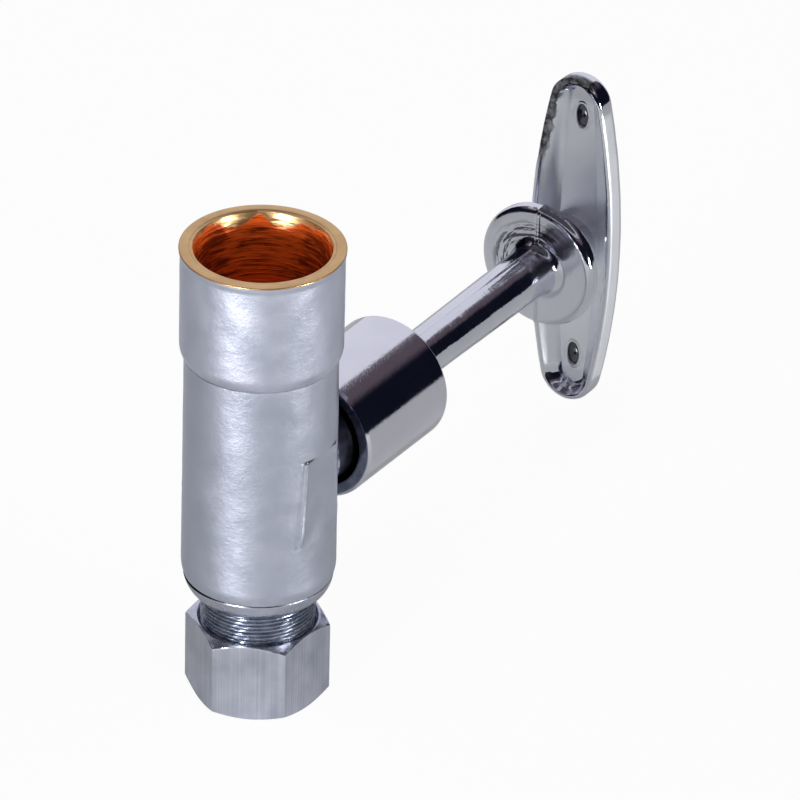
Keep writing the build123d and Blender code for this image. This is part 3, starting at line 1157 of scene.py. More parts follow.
    def neck(self) -> bpy.types.Object:
        """The tube that carries the stem, with the two lugs that stop the drive pin."""
        end, root, gland = self.places.neck_end, self.neck_root, self.gland_radius
        stop, packing, stem = end - self.stop_height, self.packing_radius, self.stem_hole_radius
        bore = [
            (self.washer_radius, root), (self.washer_radius, self.washer_floor),
            (stem, self.washer_floor), (stem, self.packing_floor),
            (packing, self.packing_floor), (packing, self.gland_floor),
            (gland, self.gland_floor), (gland, end),
        ]
        lip = [(gland + 0.4, end), (self.neck_radius - 0.3, end), (self.neck_radius, end - 0.3)]
        low = [(self.neck_radius, stop - 0.2), (self.neck_radius, root)]
        profile = divided([*bore, *lip, *low, bore[0]], 0.8)[:-1]
        rows = turned(profile, even_angles(self.neck_columns), Axis.STEM, self.places.stem_z)
        x, z = rows[:, :, 0], rows[:, :, 2] - self.places.stem_z
        lug = (x < -self.stop_clearance) & (z > self.stop_clearance)
        lug |= (x > self.stop_clearance) & (z < -self.stop_clearance)
        rows[:, :, 1] = np.where(lug, rows[:, :, 1], np.minimum(rows[:, :, 1], stop))
        piece = PieceMesh("stem_neck")
        piece.band(rows, closed=True)
        return piece.object(sharp=35)


@dataclass
class RawSocket:
    """Unplated brass of the solder socket: lip, rim, lead-in, bore, stop and throat."""

    places: Places
    lip_radius: float = 14.22
    rim_radius: float = 14.0
    step_radius: float = 12.45
    mouth_radius: float = 11.9
    bore_radius: float = 11.05
    lead_in: float = 4.5
    depth: float = 18.0
    throat_radius: float = 9.8
    throat_depth: float = 5.0
    throat_taper: float = 5.0
    waterway_radius: float = 6.5
    liner_radius: float = 12.53
    plated_below_rim: float = 0.27
    throat_above_stem: float = 9.27
    columns: int = 288
    lump_size: float = 3.4
    lump_height: float = 0.02
    lump_seed: float = 11.3

    def build(self) -> bpy.types.Object:
        """The socket as one turned ring."""
        top, lip, mouth = self.places.rim_z, self.lip_radius, self.mouth_radius
        low = self.places.stem_z + self.throat_above_stem
        under, stop = top - self.plated_below_rim, top - self.depth
        throat_end = stop - self.throat_depth
        outline = [
            (self.liner_radius, low), (self.liner_radius, under), (self.rim_radius, under),
            (lip - 0.06, under + 0.02), (lip, under + 0.07), (lip, top - 0.1),
            *arc((lip - 0.1, top - 0.1), 0.1, 0, 90, 3),
            (self.step_radius + 0.06, top), (self.step_radius - 0.06, top - 0.06),
            (mouth + 0.04, top - 0.08), (mouth - 0.02, top - 0.13), (mouth - 0.25, top - 1.0),
            (self.bore_radius, top - self.lead_in), (self.bore_radius, stop),
            (self.throat_radius, stop), (self.throat_radius, throat_end),
            (self.waterway_radius, throat_end - self.throat_taper), (self.waterway_radius, low),
            (self.liner_radius, low),
        ]
        profile = divided(outline, 0.7)[:-1]
        rows = turned(profile, even_angles(self.columns), Axis.PIPE, self.places.stem_z)
        piece = PieceMesh("socket_brass")
        points = rows.reshape(-1, 3)
        height = lumps(points, self.lump_size, self.lump_height, self.lump_seed).reshape(rows.shape[:2])
        within = profile[:, :1] < self.mouth_radius
        rows[:, :, :2] *= (1 + np.where(within, height, 0) / profile[:, :1])[:, :, None]
        piece.band(rows, closed=True)
        return piece.object(sharp=35)


# Compression end


@dataclass
class Connector:
    """Screwed-in end with its flange, olive seat and the helical thread for the nut."""

    places: Places
    outer_radius: float = 13.0
    flange_height: float = 3.5
    flange_low_radius: float = 11.3
    crest_radius: float = 10.0
    thread_depth: float = 0.42
    lead: float = 1.5
    starts: int = 2
    run_out: float = 1.3
    mouth_chamfer: float = 0.9
    cone_radius: float = 8.64
    cone_depth: float = 1.64
    pipe_radius: float = 7.55
    waterway_radius: float = 6.5
    chamber_radius: float = 9.7
    chamber_floor: float = 8.4
    screw_radius: float = 11.2
    groove_radius: float = 10.11
    groove_top: float = 1.85
    groove_low: float = 0.45
    flank: tuple[float, float] = (0.16, 0.78)
    thread_row: float = 0.055
    columns: int = 288
    seam_gap: float = 0.1
    seam_lean: float = 0.42
    seam_open_angle: float = 213.0

    def threaded(self, angles: np.ndarray, top: float, low: float) -> np.ndarray:
        """Rows of the threaded neck.

        Args:
            angles: Angles of the columns in radians.
            top: Height of the first row.
            low: Height of the last row.

        Returns:
            Rows by columns by three.
        """
        z = np.linspace(top, low, math.ceil((top - low) / self.thread_row) + 1)[:, None] + 0 * angles
        turn = (z / self.lead - angles / FULL_TURN) * self.starts % 1.0
        tooth = smooth(np.abs(turn * 2 - 1), *self.flank)
        fade = smooth(z, top - 0.3, top - self.run_out)
        root = self.crest_radius - self.thread_depth
        radius = root + self.thread_depth * tooth * fade
        radius = np.minimum(radius, self.crest_radius - self.mouth_chamfer + (z - low) * 1.2)
        return np.stack([radius * np.cos(angles), radius * np.sin(angles), z], axis=2)

    def build(self) -> bpy.types.Object:
        """The connector as one closed piece."""
        angles = even_angles(self.columns)
        seam, mouth, top = self.places.seam_z, self.places.mouth_z, self.places.connector_top_z
        flange_z, inset = seam - self.flange_height, self.outer_radius - self.flange_low_radius
        flange = curved_in(self.outer_radius, seam, inset, self.flange_height, 14)[1:]
        screw, groove, chamber = self.screw_radius, self.groove_radius, self.chamber_radius
        ledge, seam_floor = self.outer_radius - 0.6, seam - self.seam_gap
        upper = [
            (chamber, top), (screw, top), (screw, self.groove_top), (groove, self.groove_top),
            (groove, self.groove_low), (screw, self.groove_low), (screw, seam - 0.02),
            (ledge, seam - 0.02), (ledge + 0.05, seam_floor), (self.outer_radius - 0.1, seam_floor),
        ]
        under = [(flange[-1][0] - 0.12, flange_z), (self.crest_radius - self.thread_depth, flange_z)]
        above = divided([*upper, *flange, *under], 0.6)
        head = turned(above, angles, Axis.PIPE, 0.0)
        lean = np.clip(np.cos(angles - math.radians(self.seam_open_angle)), 0, 1) ** 3 * self.seam_lean
        near_seam = smooth(above[:, 1], seam - 1.0, seam_floor) * (above[:, 0] > ledge + 0.02)
        head[:, :, 2] -= near_seam[:, None] * lean
        bore = [
            (self.crest_radius - self.mouth_chamfer, mouth), (self.cone_radius, mouth),
            (self.pipe_radius, mouth + self.cone_depth), (self.pipe_radius, 0.0), (self.waterway_radius, 0.0),
            (self.waterway_radius, self.chamber_floor), (chamber, self.chamber_floor), (chamber, top),
        ]
        rows = [head, self.threaded(angles, flange_z - 0.02, mouth + 0.02)]
        rows.append(turned(divided(bore, 0.9)[:-1], angles, Axis.PIPE, 0.0))
        piece = PieceMesh("threaded_end")
        piece.band(np.concatenate(rows), closed=True)
        return piece.object(sharp=38)


@dataclass
class Nut:
    """Compression nut with chamfered ends, countersunk mouth and pipe hole."""

    places: Places
    half_flats: float = 11.0
    corner_angle: float = 26.5
    corner_round: float = 0.2
    corner_soft: float = 0.12
    face_radius: float = 10.9
    chamfer_slope: float = 0.577
    bore_radius: float = 10.06
    countersink: float = 0.5
    thread_depth: float = 11.0
    cone_radius: float = 8.9
    cone_depth: float = 1.4
    pipe_radius: float = 7.65
    steps_per_face: int = 30

    def outline(self) -> np.ndarray:
        """Angle and radius round the hexagon, with its corners slightly rounded."""
        made = []
        reach = self.half_flats * math.tan(math.pi / 6)
        straight = reach - self.corner_round * math.tan(math.pi / 6)
        for face in range(6):
            facing = math.radians(self.corner_angle + 30 + face * 60)
            along = np.linspace(-straight, straight, self.steps_per_face)
            flats = [(self.half_flats, value) for value in along]
            pivot = (self.half_flats - self.corner_round, straight)
            bend = arc(pivot, self.corner_round, 0, 60, 6)[1:-1]
            for out, side in [*flats, *bend]:
                made.append((facing + math.atan2(side, out), math.hypot(out, side)))
        return np.array(made)

    def build(self) -> bpy.types.Object:
        """The nut as one closed piece."""
        angles, corner = self.outline().T
        top, low = self.places.nut_top_z, self.places.nut_low_z
        shoulder = top - self.thread_depth
        drop = (corner - self.face_radius) * self.chamfer_slope

        def ring(radius: float | np.ndarray, z: float | np.ndarray) -> np.ndarray:
            """One row of points round the pipe."""
            wide, high = radius + 0 * angles, z + 0 * angles
            return np.stack([wide * np.cos(angles), wide * np.sin(angles), high], axis=1)

        def chamfer(share: float, end: float, inward: float) -> np.ndarray:
            """One row of points on the chamfer, from an end's face towards the corners."""
            return ring(self.face_radius + (corner - self.face_radius) * share, end + inward * drop * share)

        soft = self.corner_soft
        start, end = top - drop - soft * 1.4, low + drop + soft * 1.4
        rows = [ring(self.bore_radius + self.countersink, top)]
        rows += [chamfer(share, top, -1.0) for share in (0.0, 0.3, 0.6, 0.93)]
        rows += [ring(corner - soft * 0.25, top - drop - soft * 0.2)]
        rows += [ring(corner, start + (end - start) * share) for share in np.linspace(0, 1, 26)]
        rows += [ring(corner - soft * 0.25, low + drop + soft * 0.2)]
        rows += [chamfer(share, low, 1.0) for share in (0.93, 0.6, 0.3)]
        inside = [
            (self.face_radius, low), (self.pipe_radius + 0.3, low), (self.pipe_radius, low + 0.3),
            (self.pipe_radius, shoulder - self.cone_depth), (self.cone_radius, shoulder),
            (self.bore_radius, shoulder), (self.bore_radius, top - self.countersink),
            (self.bore_radius + self.countersink, top),
        ]
        rows += [ring(radius, z) for radius, z in divided(inside, 0.9)[:-1]]
        piece = PieceMesh("hexagon_nut")
        piece.band(np.array(rows), closed=True)
        return piece.object(sharp=20)


# Handle


@dataclass
class HandleCasting:
    """Cast T-handle: rod, disc and hub turned in one, and the dished plate."""

    places: Places
    rod_radius: float = 4.2
    rod_end_radius: float = 4.7
    sleeve_end: float = 40.8
    socket_radius: float = 2.63
    socket_depth: float = 9.4
    disc_start: float = 87.2
    disc_thickness: float = 3.4
    disc_radius: float = 11.8
    disc_edge: float = 1.4
    flare: float = 1.8
    hub_radius: float = 5.4
    hub_fillet: float = 0.8
    columns: int = 192
    crowding: float = 1.6
    plate_thickness: float = 4.8
    plate_half_length: float = 33.2
    plate_half_width: float = 8.65
    plate_end_radius: float = 5.6
    plate_back_radius: float = 1.8
    rim_width: float = 0.9
    rim_round: float = 0.8
    tray_depth: float = 2.8
    floor_half_width: float = 3.9
    floor_half_length: float = 30.6
    floor_end_radius: float = 2.2
    hole_spacing: float = 49.6
    dimple_half_width: float = 1.25
    dimple_half_height: float = 2.4
    hole_radius: float = 1.6
    waist_inset: float = 0.8
    bevel_width: float = 3.0
    bevel_slope: float = 0.75
    bevel_drop: float = 0.9
    bevel_rise: tuple[float, float] = (18.0, 27.0)
    bevel_side: tuple[float, float] = (3.6, 1.0)
    bevel_lump_size: float = 1.3
    bevel_lump_height: float = 0.9
    bevel_seed: float = 2.2
    ridge_height: float = 0.26
    ridge_width: float = 0.3
    lump_size: float = 2.6
    lump_height: float = 0.03
    spindle_seed: float = 5.2
    plate_seed: float = 9.4
    mesh_step: float = 0.62
    mesh_room: float = 0.3

    def rough(self, rows: np.ndarray, seed: float) -> np.ndarray:
        """The rows with the casting's lumps, pushed along their own surface.

        Args:
            rows: Rows by columns by three.
            seed: Shifts the noise.

        Returns:
            The pushed rows.
        """
        down = np.roll(rows, -1, axis=0) - np.roll(rows, 1, axis=0)
        along = np.roll(rows, -1, axis=1) - np.roll(rows, 1, axis=1)
        facing = np.cross(down, along)
        facing /= np.maximum(np.linalg.norm(facing, axis=2, keepdims=True), 1e-9)
        height = lumps(rows.reshape(-1, 3), self.lump_size, self.lump_height, seed)
        return rows + facing * height.reshape(rows.shape[:2])[:, :, None]

    def spindle(self) -> bpy.types.Object:
        """Rod, disc and hub, with the mould's parting ridge above and below."""
        start, disc_end = self.places.rod_start, self.disc_start + self.disc_thickness
        plate_start = self.places.plate_end - self.plate_thickness
        hub_end = plate_start + (self.tray_depth + self.plate_thickness) / 2
        edge, bore_end, hub = self.disc_edge, start + self.socket_depth, self.hub_radius
        flare_start, rod, fillet = self.disc_start - self.flare, self.rod_radius, self.hub_fillet
        outline = [
            (ON_AXIS, bore_end), (self.socket_radius, bore_end), (self.socket_radius, start),
            (rod - 0.2, start), (rod, start + 0.2), (rod, self.sleeve_end),
            (self.rod_end_radius, flare_start),
            *arc((self.rod_end_radius + self.flare, flare_start), self.flare, 180, 90, 8),
            *arc((self.disc_radius - edge, self.disc_start + edge), edge, -90, 0, 7),
            *arc((self.disc_radius - edge, disc_end - edge), edge, 0, 90, 7),
            (hub + fillet, disc_end), *arc((hub + fillet, disc_end + fillet), fillet, -90, -180, 4),
            (hub, hub_end), (ON_AXIS, hub_end),
        ]
        profile = divided(outline, 0.7)
        spread = np.linspace(-1, 1, self.columns // 2 + 1)[:-1]
        quarter = np.sign(spread) * np.abs(spread) ** self.crowding * (math.pi / 2)
        angles = np.concatenate([quarter + math.pi / 2, quarter + 3 * math.pi / 2])
        rows = turned(profile, angles, Axis.STEM, self.places.stem_z)
        shown = profile[:, 1] > self.sleeve_end
        pushed = self.rough(rows, self.spindle_seed)
        rows[shown] = pushed[shown]
        ridge = self.ridge_height * np.exp(-((rows[:, :, 0] / self.ridge_width) ** 2))
        on_face = (profile[:, 1] > flare_start) & (profile[:, 1] < self.disc_start + edge)
        rows[on_face, :, 1] -= ridge[on_face]
        outwards = np.sign(rows[:, :, 2] - self.places.stem_z)
        rows[:, :, 2] += np.where(shown[:, None], 0.5 * ridge * outwards, 0)
        piece = PieceMesh("handle_spindle")
        piece.band(rows)
        return piece.object(sharp=45)

    def outline(self, half_width: float, half_length: float, end_radius: float) -> np.ndarray:
        """Outline of the plate or of a loop within it.

        Args:
            half_width: Half its width.
            half_length: Half its length.
            end_radius: Radius of its ends.

        Returns:
            Points across and up, one a row.
        """
        end_centre = half_length - end_radius
        square = half_width**2 + end_centre**2 - end_radius**2
        side = square / (2 * (half_width - end_radius))
        beside = side - half_width
        lean = math.degrees(math.atan2(end_centre, beside))
        made = arc((-beside, 0), side, -lean, lean, 110)[:-1]
        made += arc((0, end_centre), end_radius, lean, 180 - lean, 46)[:-1]
        made += arc((beside, 0), side, 180 - lean, 180 + lean, 110)[:-1]
        made += arc((0, -end_centre), end_radius, 180 + lean, 360 - lean, 46)[:-1]
        return np.array(made)

    def section(self) -> list[np.ndarray]:
        """Loops from the back's flat round the edge and rim down to the tray's floor."""
        end = self.places.plate_end
        start = end - self.plate_thickness
        back, rim = self.plate_back_radius, self.rim_round
        size = np.array([self.plate_half_width, self.plate_half_length, self.plate_end_radius])
        edge = [(back - y, end + x - back) for y, x in arc((0, 0), back, 90, 0, 8)]
        edge += [(rim - y, start + rim - x) for y, x in arc((0, 0), rim, 0, 90, 5)]
        edge += [(self.rim_width + 0.06, start + 0.05)]
        loops = [(y, size - inset) for inset, y in divided(edge, 0.42)]
        top_y, top = loops[-1]
        floor_y = start + self.tray_depth
        floor = np.array([self.floor_half_width, self.floor_half_length, self.floor_end_radius])
        for share in np.linspace(0, 1, 13)[1:]:
            eased = share + 0.08 * math.sin(2 * math.pi * share) * share
            loops.append((top_y + (floor_y - top_y) * eased, top + (floor - top) * share))
        made = []
        for y, (wide, high, round_end) in loops:
            across, up = self.outline(wide, high, round_end).T
            made.append(np.stack([across, y + 0 * across, up + self.places.stem_z], axis=1))
        return made

    def bevelled(self, loops: np.ndarray) -> np.ndarray:
        """The plate's loops with the ragged bevel that is ground on its upper end.

        Args:
            loops: Loops by points by three.

        Returns:
            The loops with that edge pushed back.
        """
        x, y, z = loops[:, :, 0], loops[:, :, 1], loops[:, :, 2] - self.places.stem_z
        inset = (loops[:, :, 0].max() - loops[:, :, 0].max(axis=1))[:, None]
        ragged = lumps(loops.reshape(-1, 3), self.bevel_lump_size, self.bevel_lump_height, self.bevel_seed)
        width = self.bevel_width * smooth(z - x * 0.9, *self.bevel_rise) * smooth(x, *self.bevel_side)
        width = width + ragged.reshape(x.shape) * (width > 0.2) * smooth(inset, 0.1, 0.8)
        drop = np.minimum((width - inset) * self.bevel_slope, self.bevel_drop)
        bevel = self.places.plate_end - self.plate_thickness + drop
        made = loops.copy()
        made[:, :, 1] = np.minimum(np.maximum(y, bevel), self.places.plate_end)
        return made

    def hole_rings(self, centre: float) -> list[np.ndarray]:
        """Rings from the tray's floor over the dimple's lip and through the plate.

        Args:
            centre: Height of the hole's middle.

        Returns:
            Rings of points, each with across, depth and up.
        """
        end = self.places.plate_end
        floor_y = end - self.plate_thickness + self.tray_depth
        steps = even_angles(48)
        wide, high, hole = self.dimple_half_width, self.dimple_half_height, self.hole_radius
        waist = (wide - self.waist_inset, hole - self.waist_inset)
        rings = [
            (wide + 0.62, high + 0.62, floor_y), (wide + 0.36, high + 0.36, floor_y - 0.12),
            (wide + 0.15, high + 0.15, floor_y - 0.14), (wide, high, floor_y),
            (wide - 0.1, high - 0.25, floor_y + 0.5), (*waist, floor_y + 0.7), (*waist, end - 0.3),
            (hole, hole, end),
        ]
        across, up = np.cos(steps), np.sin(steps)
        return [np.stack([a * across, y + 0 * steps, b * up + centre], axis=1) for a, b, y in rings]

    def plate(self) -> bpy.types.Object:
        """The dished plate with its two holes."""
        piece = PieceMesh("handle_plate")
        stem_z = self.places.stem_z
        pushed = self.bevelled(self.rough(np.array(self.section()), self.plate_seed))
        half = self.hole_spacing / 2
        holes = [self.hole_rings(stem_z + side * half) for side in (-1, 1)]
        for rings in holes:
            piece.band(np.array(rings))
        piece.band(pushed)
        for row, ring in ((0, -1), (-1, 0)):
            self.fill(piece, pushed[row], [rings[ring] for rings in holes])
        return piece.object(sharp=50)

    def fill(self, piece: PieceMesh, outer: np.ndarray, holes: Sequence[np.ndarray]) -> None:
        """Fills the flat between an outline and the holes with small triangles.

        Args:
            piece: The piece that gets the faces.
            outer: The outline, one point a row.
            holes: The holes' edges.
        """
        loops = [outer, *holes]
        flat = [loop[:, [0, 2]] for loop in loops]
        depth = float(holes[0][0, 1])

        def inside(point: np.ndarray, loop: np.ndarray) -> bool:
            """Whether the point lies within the loop.

            Args:
                point: Across and up.
                loop: The loop's points, one a row.

            Returns:
                True within the loop.
            """
            x, y = point
            following = np.roll(loop, -1, axis=0)
            crosses = (loop[:, 1] > y) != (following[:, 1] > y)
            rise = np.where(following[:, 1] == loop[:, 1], 1.0, following[:, 1] - loop[:, 1])
            at = loop[:, 0] + (y - loop[:, 1]) / rise * (following[:, 0] - loop[:, 0])
            return bool(np.count_nonzero(crosses & (x < at)) % 2)

        def filled(point: np.ndarray) -> bool:
            """Whether the point lies on the part that gets faces."""
            return inside(point, flat[0]) and not any(inside(point, hole) for hole in flat[1:])

        points, edges = [], []
        for loop in flat:
            first = len(points)
            points += [Vector(p) for p in loop]
            edges += [(first + i, first + (i + 1) % len(loop)) for i in range(len(loop))]
        low, high = flat[0].min(axis=0), flat[0].max(axis=0)
        clear = np.concatenate(flat)
        for x in np.arange(low[0], high[0], self.mesh_step):
            for z in np.arange(low[1], high[1], self.mesh_step):
                spot = np.array([x, z])
                if filled(spot) and np.min(np.hypot(*(clear - spot).T)) > self.mesh_room:
                    points.append(Vector(spot))
        made, _, triangles, *_ = geometry.delaunay_2d_cdt(points, edges, [], 0, 1e-6)
        flat_points = np.array([tuple(p) for p in made])
        level = np.stack([flat_points[:, 0], depth + 0 * flat_points[:, 0], flat_points[:, 1]], axis=1)
        height = lumps(level, self.lump_size, self.lump_height, self.plate_seed)
        rim = np.array([np.min(np.hypot(*(clear - p).T)) for p in flat_points])
        level[:, 1] += height * smooth(rim, 0.05, 1.2)
        known = {tuple(np.round(p, 4)): y for loop in loops for p, y in zip(loop[:, [0, 2]], loop[:, 1])}
        for number, point in enumerate(flat_points):
            key = tuple(np.round(point, 4))
            level[number, 1] = known.get(key, level[number, 1])
        first = piece.points(level)
        for triangle in triangles:
            if filled(flat_points[list(triangle)].mean(axis=0)):
                piece.faces.append(tuple(first + corner for corner in triangle))


# Studio


@dataclass(frozen=True)
class Lamp:
    """A soft rectangular lamp that looks at the object."""

    name: str
    azimuth: float
    elevation: float
    distance: float
    width: float
    height: float
    watts: float
    mirrored: bool = True

    def place(self, target: Vector) -> None:
        """Makes the lamp.

        Args:
            target: What it looks at, in metres.
        """
        data = bpy.data.lights.new(self.name, "AREA")
        data.shape, data.size, data.size_y, data.energy = "RECTANGLE", self.width, self.height, self.watts
        lamp = bpy.data.objects.new(self.name, data)
        away = direction(self.azimuth, self.elevation)
        lamp.location = target + away * self.distance
        lamp.visible_glossy = self.mirrored
        lamp.rotation_mode = "QUATERNION"
        lamp.rotation_quaternion = away.to_track_quat("Z", "Y")
        bpy.context.scene.collection.objects.link(lamp)


@dataclass(frozen=True)
class Camera:
    """The camera that took the picture: where it stands, how it is turned and its long lens."""

    azimuth: float = 32.93
    elevation: float = 31.30
    roll: float = 1.45
    position: tuple[float, float, float] = (615.29, -906.47, 699.49)
    focal_pixels: float = 7540.0
    picture_pixels: float = 800.0
    sensor: float = 36.0

    def place(self) -> None:
        """Makes it the scene's camera."""
        data = bpy.data.cameras.new("camera")
        data.sensor_width = self.sensor
        data.lens = self.focal_pixels / self.picture_pixels * self.sensor
        data.clip_start, data.clip_end = 0.05, 20.0
        back = direction(self.azimuth, self.elevation)
        level = Vector((math.cos(math.radians(self.azimuth)), math.sin(math.radians(self.azimuth)), 0.0))
        upright = back.cross(level)
        c, s = math.cos(math.radians(self.roll)), math.sin(math.radians(self.roll))
        right, up = level * c + upright * s, upright * c - level * s
        turn = Matrix((right, up, back)).transposed().to_4x4()
        camera = bpy.data.objects.new("camera", data)
        camera.matrix_world = Matrix.Translation(Vector(self.position) * MM) @ turn
        bpy.context.scene.collection.objects.link(camera)
        bpy.context.scene.camera = camera


@dataclass(frozen=True)
class Studio:
    """Pale floor on a table, plain to the camera and with painted shade to its sides, a room that metal can
    mirror, and soft lamps.
    """

    table_size: float = 1.0
    floor_grey: float = 0.55
    floor_white: float = 0.95
    floor_azimuth: float = 33.0
    floor_side_shade: float = 0.82
    floor_turn: tuple[float, float] = (0.3, 0.95)
    room_light: float = 0.42
    room_tint: Colour = (0.95, 0.97, 1.0)
    sweep_azimuth: float = 215.0
    sweep_cosine: tuple[float, float] = (0.75, 0.79)
    wall_top: tuple[float, float] = (0.73, 0.69)
    wall_turn: tuple[float, float] = (0.50, 0.60)
    ceiling: tuple[float, float] = (0.72, 0.80)
    sweep_white: Colour = (0.77, 0.77, 0.84)
    wall_black: Colour = (0.004, 0.005, 0.012)
    wall_brown: Colour = (0.10, 0.078, 0.095)
    ceiling_dark: Colour = (0.06, 0.06, 0.07)
    lamps: tuple[Lamp, ...] = (
        Lamp("left_strip", azimuth=1.0, elevation=4.0, distance=1.1, width=0.12, height=0.26, watts=19.0),
        Lamp("right_strip", azimuth=89.0, elevation=4.0, distance=1.1, width=0.12, height=0.26, watts=13.0),
        Lamp(
            "ceiling", azimuth=20.0, elevation=72.0, distance=1.4, width=0.9, height=0.9, watts=7.0,
            mirrored=False,
        ),
    )

    def mirrored(self, graph: Graph) -> Signal:
        """What metal sees of the room: a white sweep behind on the left, dark walls and a dim ceiling.

        Args:
            graph: The world's graph.

        Returns:
            The colour in the direction that a ray takes.
        """
        way = graph.add("ShaderNodeTexCoord", output="Generated")
        x, y, z = graph.axes(way)
        facing = direction(self.sweep_azimuth, 0.0)
        level = (x * x + y * y + 0.0001) ** 0.5
        sweep = ((x * facing.x + y * facing.y) / level).step(*self.sweep_cosine)
        wall = z.step(*self.wall_top) * (1 - sweep)
        dark = graph.blend(z.step(*self.wall_turn), self.wall_black, self.wall_brown)
        room = graph.blend(z.step(*self.ceiling), self.sweep_white, self.ceiling_dark)
        return graph.blend(wall, room, dark)

    def world(self) -> None:
        """The room: white where the camera looks, and the room's walls for metal to mirror."""
        world = bpy.data.worlds.new("room")
        world.use_nodes = True
        graph = Graph(world.node_tree)
        seen = graph.add("ShaderNodeBackground", sockets={"Color": opaque(WHITE), "Strength": 1.0})
        metal = graph.add("ShaderNodeBackground", sockets={"Color": self.mirrored(graph), "Strength": 1.0})
        sockets = {"Color": opaque(self.room_tint), "Strength": self.room_light}
        light = graph.add("ShaderNodeBackground", sockets=sockets)
        glossy = graph.rays("Is Glossy Ray", "Is Transmission Ray")
        mixed = graph.add("ShaderNodeMixShader", sockets={0: glossy, 1: light, 2: metal})
        camera = graph.rays("Is Camera Ray")
        mixed = graph.add("ShaderNodeMixShader", sockets={0: camera, 1: mixed, 2: seen})
        graph.add("ShaderNodeOutputWorld", sockets={"Surface": mixed})
        bpy.context.scene.world = world

    def floor(self, height: float) -> None:
        """The floor, which keeps the object's shadow but looks almost white, and has painted shade to its
        sides.

        Args:
            height: Where it lies, in metres.
        """
        mesh = bpy.data.meshes.new("floor")
        half = self.table_size / 2
        corners = [(-half, -half, 0), (half, -half, 0), (half, half, 0), (-half, half, 0)]
        mesh.from_pydata(corners, [], [(0, 1, 2, 3)])
        floor = bpy.data.objects.new("floor", mesh)
        floor.location.z = height
        bpy.context.scene.collection.objects.link(floor)
        material = bpy.data.materials.new("floor_paper")
        at = Surface(material)
        paper = (at.grain(40.0, 3.0) * 1.5 + 0.5).clamped()
        tint = at.blend(paper, (self.floor_grey,) * 3, (self.floor_grey * 1.03,) * 3)
        # Painted shade: the floor is darker away from the line that runs towards the camera.
        front = direction(self.floor_azimuth, 0.0)
        floor_shade_mask = abs(at.x * front.y - at.y * front.x) / (at.x * at.x + at.y * at.y + 1.0) ** 0.5
        tint = at.blend(floor_shade_mask.step(*self.floor_turn), tint, (self.floor_grey * self.floor_side_shade,) * 3)
        lit = at.add("ShaderNodeBsdfDiffuse", sockets={"Color": tint})
        white = at.add("ShaderNodeEmission", sockets={"Color": opaque(WHITE), "Strength": 1.0})
        share = at.rays("Is Camera Ray") * self.floor_white
        mixed = at.add("ShaderNodeMixShader", sockets={0: share, 1: lit, 2: white})
        at.add("ShaderNodeOutputMaterial", sockets={"Surface": mixed})
        mesh.materials.append(material)
        floor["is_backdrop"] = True

    def build(self, low: Vector, high: Vector) -> None:
        """Builds the room round the object.

        Args:
            low: The object's lowest corner in metres.
            high: Its highest corner.
        """
        self.world()
        self.floor(low.z)
        for lamp in self.lamps:
            lamp.place((low + high) / 2)
        bpy.context.scene.view_settings.view_transform = "Standard"


# Finishes


PIPE_PLATE = ForgedPlate(
    "satin_plate", tint=(0.53, 0.57, 0.68), cloud_tint=(0.61, 0.63, 0.74), cloud_size=5.0,
    roughness=0.31, roughness_swing=0.08,
    peel_size=(1.1, 1.1, 0.9), peel_height=0.034, fine_size=0.3, fine_height=0.017,
)
CONNECTOR_PLATE = ThreadedPlate(
    "turned_plate", tint=(0.42, 0.45, 0.53), cloud_tint=(0.52, 0.54, 0.62), cloud_size=4.0,
    roughness=0.24, roughness_swing=0.08,
    peel_size=(1.5, 1.5, 1.5), peel_height=0.006, fine_size=0.25, fine_height=0.002,
    grain=Grain.TURNED_ROUND_PIPE, streak_height=0.004, streak_shade=0.8,
)
NUT_PLATE = MetalFinish(
    "drawn_plate", tint=(0.46, 0.49, 0.57), cloud_tint=(0.66, 0.67, 0.76), cloud_size=6.0,
    roughness=0.2, roughness_swing=0.06,
    peel_size=(1.0, 1.0, 0.6), peel_height=0.008, fine_size=0.25, fine_height=0.003,
    grain=Grain.DRAWN_ALONG_PIPE, streak_height=0.010, streak_shade=2.0,
)
# Painted shade: the neck takes a near-black tint for the shade inside the sleeve.
NECK_SHADE_PLATE = MetalFinish(
    "shaded_neck_plate", tint=(0.05, 0.05, 0.09), cloud_tint=(0.12, 0.12, 0.17), cloud_size=2.5,
    roughness=0.26, roughness_swing=0.1,
    peel_size=(1.2, 1.2, 1.2), peel_height=0.02, fine_size=0.3, fine_height=0.004,
)
SLEEVE_PLATE = SleevePlate(
    "bright_plate", tint=(0.72, 0.72, 0.80), cloud_tint=(0.78, 0.78, 0.85), cloud_size=7.0,
    roughness=0.045, roughness_swing=0.04,
    peel_size=(0.5, 0.5, 0.5), peel_height=0.008, fine_size=0.17, fine_height=0.006,
)
HANDLE_PLATE = CastPlate(
    "cast_plate", tint=(0.70, 0.71, 0.79), cloud_tint=(0.76, 0.77, 0.84), cloud_size=6.0,
    roughness=0.06, roughness_swing=0.05,
    peel_size=(0.7, 0.7, 0.7), peel_height=0.016, fine_size=0.2, fine_height=0.008,
)
BALL_PLATE = MetalFinish(
    "ball_plate", tint=(0.70, 0.70, 0.73), cloud_tint=(0.76, 0.76, 0.78), cloud_size=8.0,
    roughness=0.06, roughness_swing=0.03,
    peel_size=(2.0, 2.0, 2.0), peel_height=0.002, fine_size=0.3, fine_height=0.0005,
)
BRASS = MetalFinish(
    "turned_brass", tint=(0.78, 0.53, 0.25), cloud_tint=(0.70, 0.45, 0.20), cloud_size=3.0,
    roughness=0.24, roughness_swing=0.1,
    peel_size=(1.2, 1.2, 1.2), peel_height=0.002, fine_size=0.25, fine_height=0.001,
    grain=Grain.TURNED_ROUND_PIPE, streak_height=0.004, streak_shade=0.5,
)
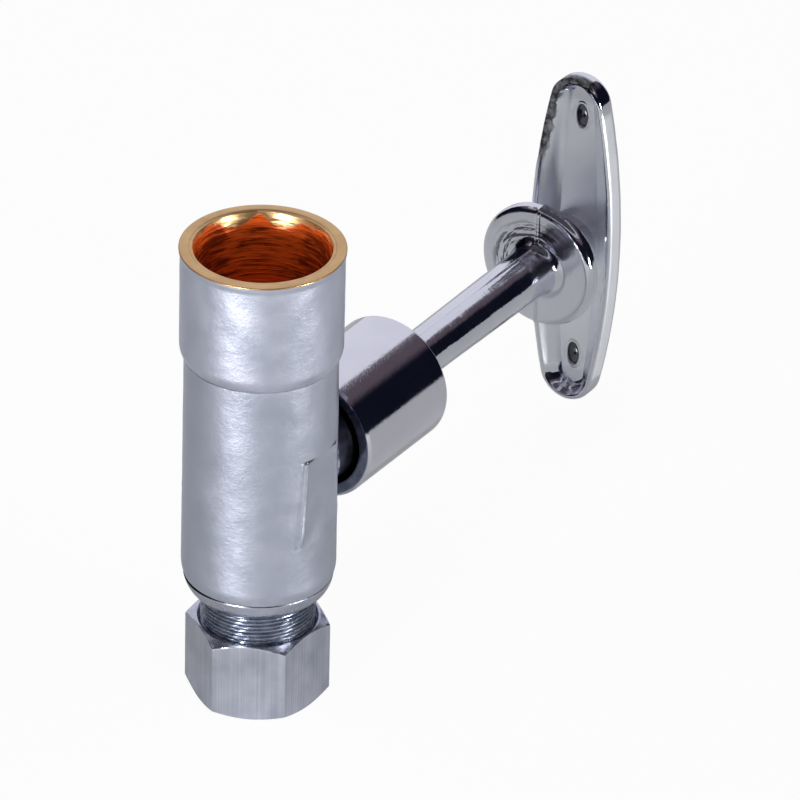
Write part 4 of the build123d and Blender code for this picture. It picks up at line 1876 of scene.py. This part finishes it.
STEEL = MetalFinish(
    "plain_steel", tint=(0.52, 0.52, 0.53), cloud_tint=(0.44, 0.43, 0.42), cloud_size=2.0,
    roughness=0.3, roughness_swing=0.1,
    peel_size=(1.0, 1.0, 1.0), peel_height=0.002, fine_size=0.2, fine_height=0.001,
    grain=Grain.TURNED_ROUND_STEM, streak_height=0.003, streak_shade=0.5,
)
SEAT_PLASTIC = SealFinish("seat_plastic_white", (0.86, 0.86, 0.83), (0.78, 0.78, 0.74), 0.42)
SEAL_RUBBER = SealFinish("seal_rubber_black", (0.018, 0.018, 0.018), (0.03, 0.03, 0.03), 0.5)


def dress_nodes(nodes: Mapping[str, bpy.types.Object], finishes: Mapping[str, bpy.types.Material]) -> None:
    """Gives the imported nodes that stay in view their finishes.

    Args:
        nodes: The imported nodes.
        finishes: The material of each node.
    """
    for name, material in finishes.items():
        for holder in nodes[name].material_slots:
            holder.material = material
        if not nodes[name].material_slots:
            nodes[name].data.materials.append(material)
        log.info("%s: dressed in %s", name, material.name)


def main() -> None:
    """Builds the valve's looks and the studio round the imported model."""
    logging.basicConfig(level=logging.INFO, format="%(name)s %(message)s")
    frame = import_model()
    low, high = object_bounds()
    places = Places.of(frame)

    body, connector, nut = PIPE_PLATE.material(), CONNECTOR_PLATE.material(), NUT_PLATE.material()
    cast, brass = HANDLE_PLATE.material(), BRASS.material()
    seat_plastic, rubber, steel = SEAT_PLASTIC.material(), SEAL_RUBBER.material(), STEEL.material()
    bore = SocketBrass("socket_brass_raw", places.rim_z).material()

    barrel = Barrel(places)
    seat(barrel.shell(), body, "valve", "valve_body")
    seat(barrel.neck(), NECK_SHADE_PLATE.material(), "valve", "valve_body")
    seat(RawSocket(places).build(), bore, "valve", "valve_body")
    seat(Connector(places).build(), connector, "valve", "end_connector")
    seat(Nut(places).build(), nut, "nut", "compression_nut")
    casting = HandleCasting(places)
    seat(casting.spindle(), cast, "handle", "t_handle")
    seat(casting.plate(), cast, "handle", "t_handle")
    dress_nodes(
        frame["nodes"],
        {
            "sleeve": SLEEVE_PLATE.material(),
            "ball": BALL_PLATE.material(),
            "upper_seat": seat_plastic,
            "lower_seat": seat_plastic,
            "thrust_washer": seat_plastic,
            "packing_ring": seat_plastic,
            "connector_o_ring": rubber,
            "stem_o_ring": rubber,
            "stem": brass,
            "gland_ring": brass,
            "gland_nut": brass,
            "olive": brass,
            "drive_pin": steel,
            "grub_screw": steel,
        },
    )
    Studio().build(low, high)
    Camera().place()


if __name__ == "__main__":
    main()
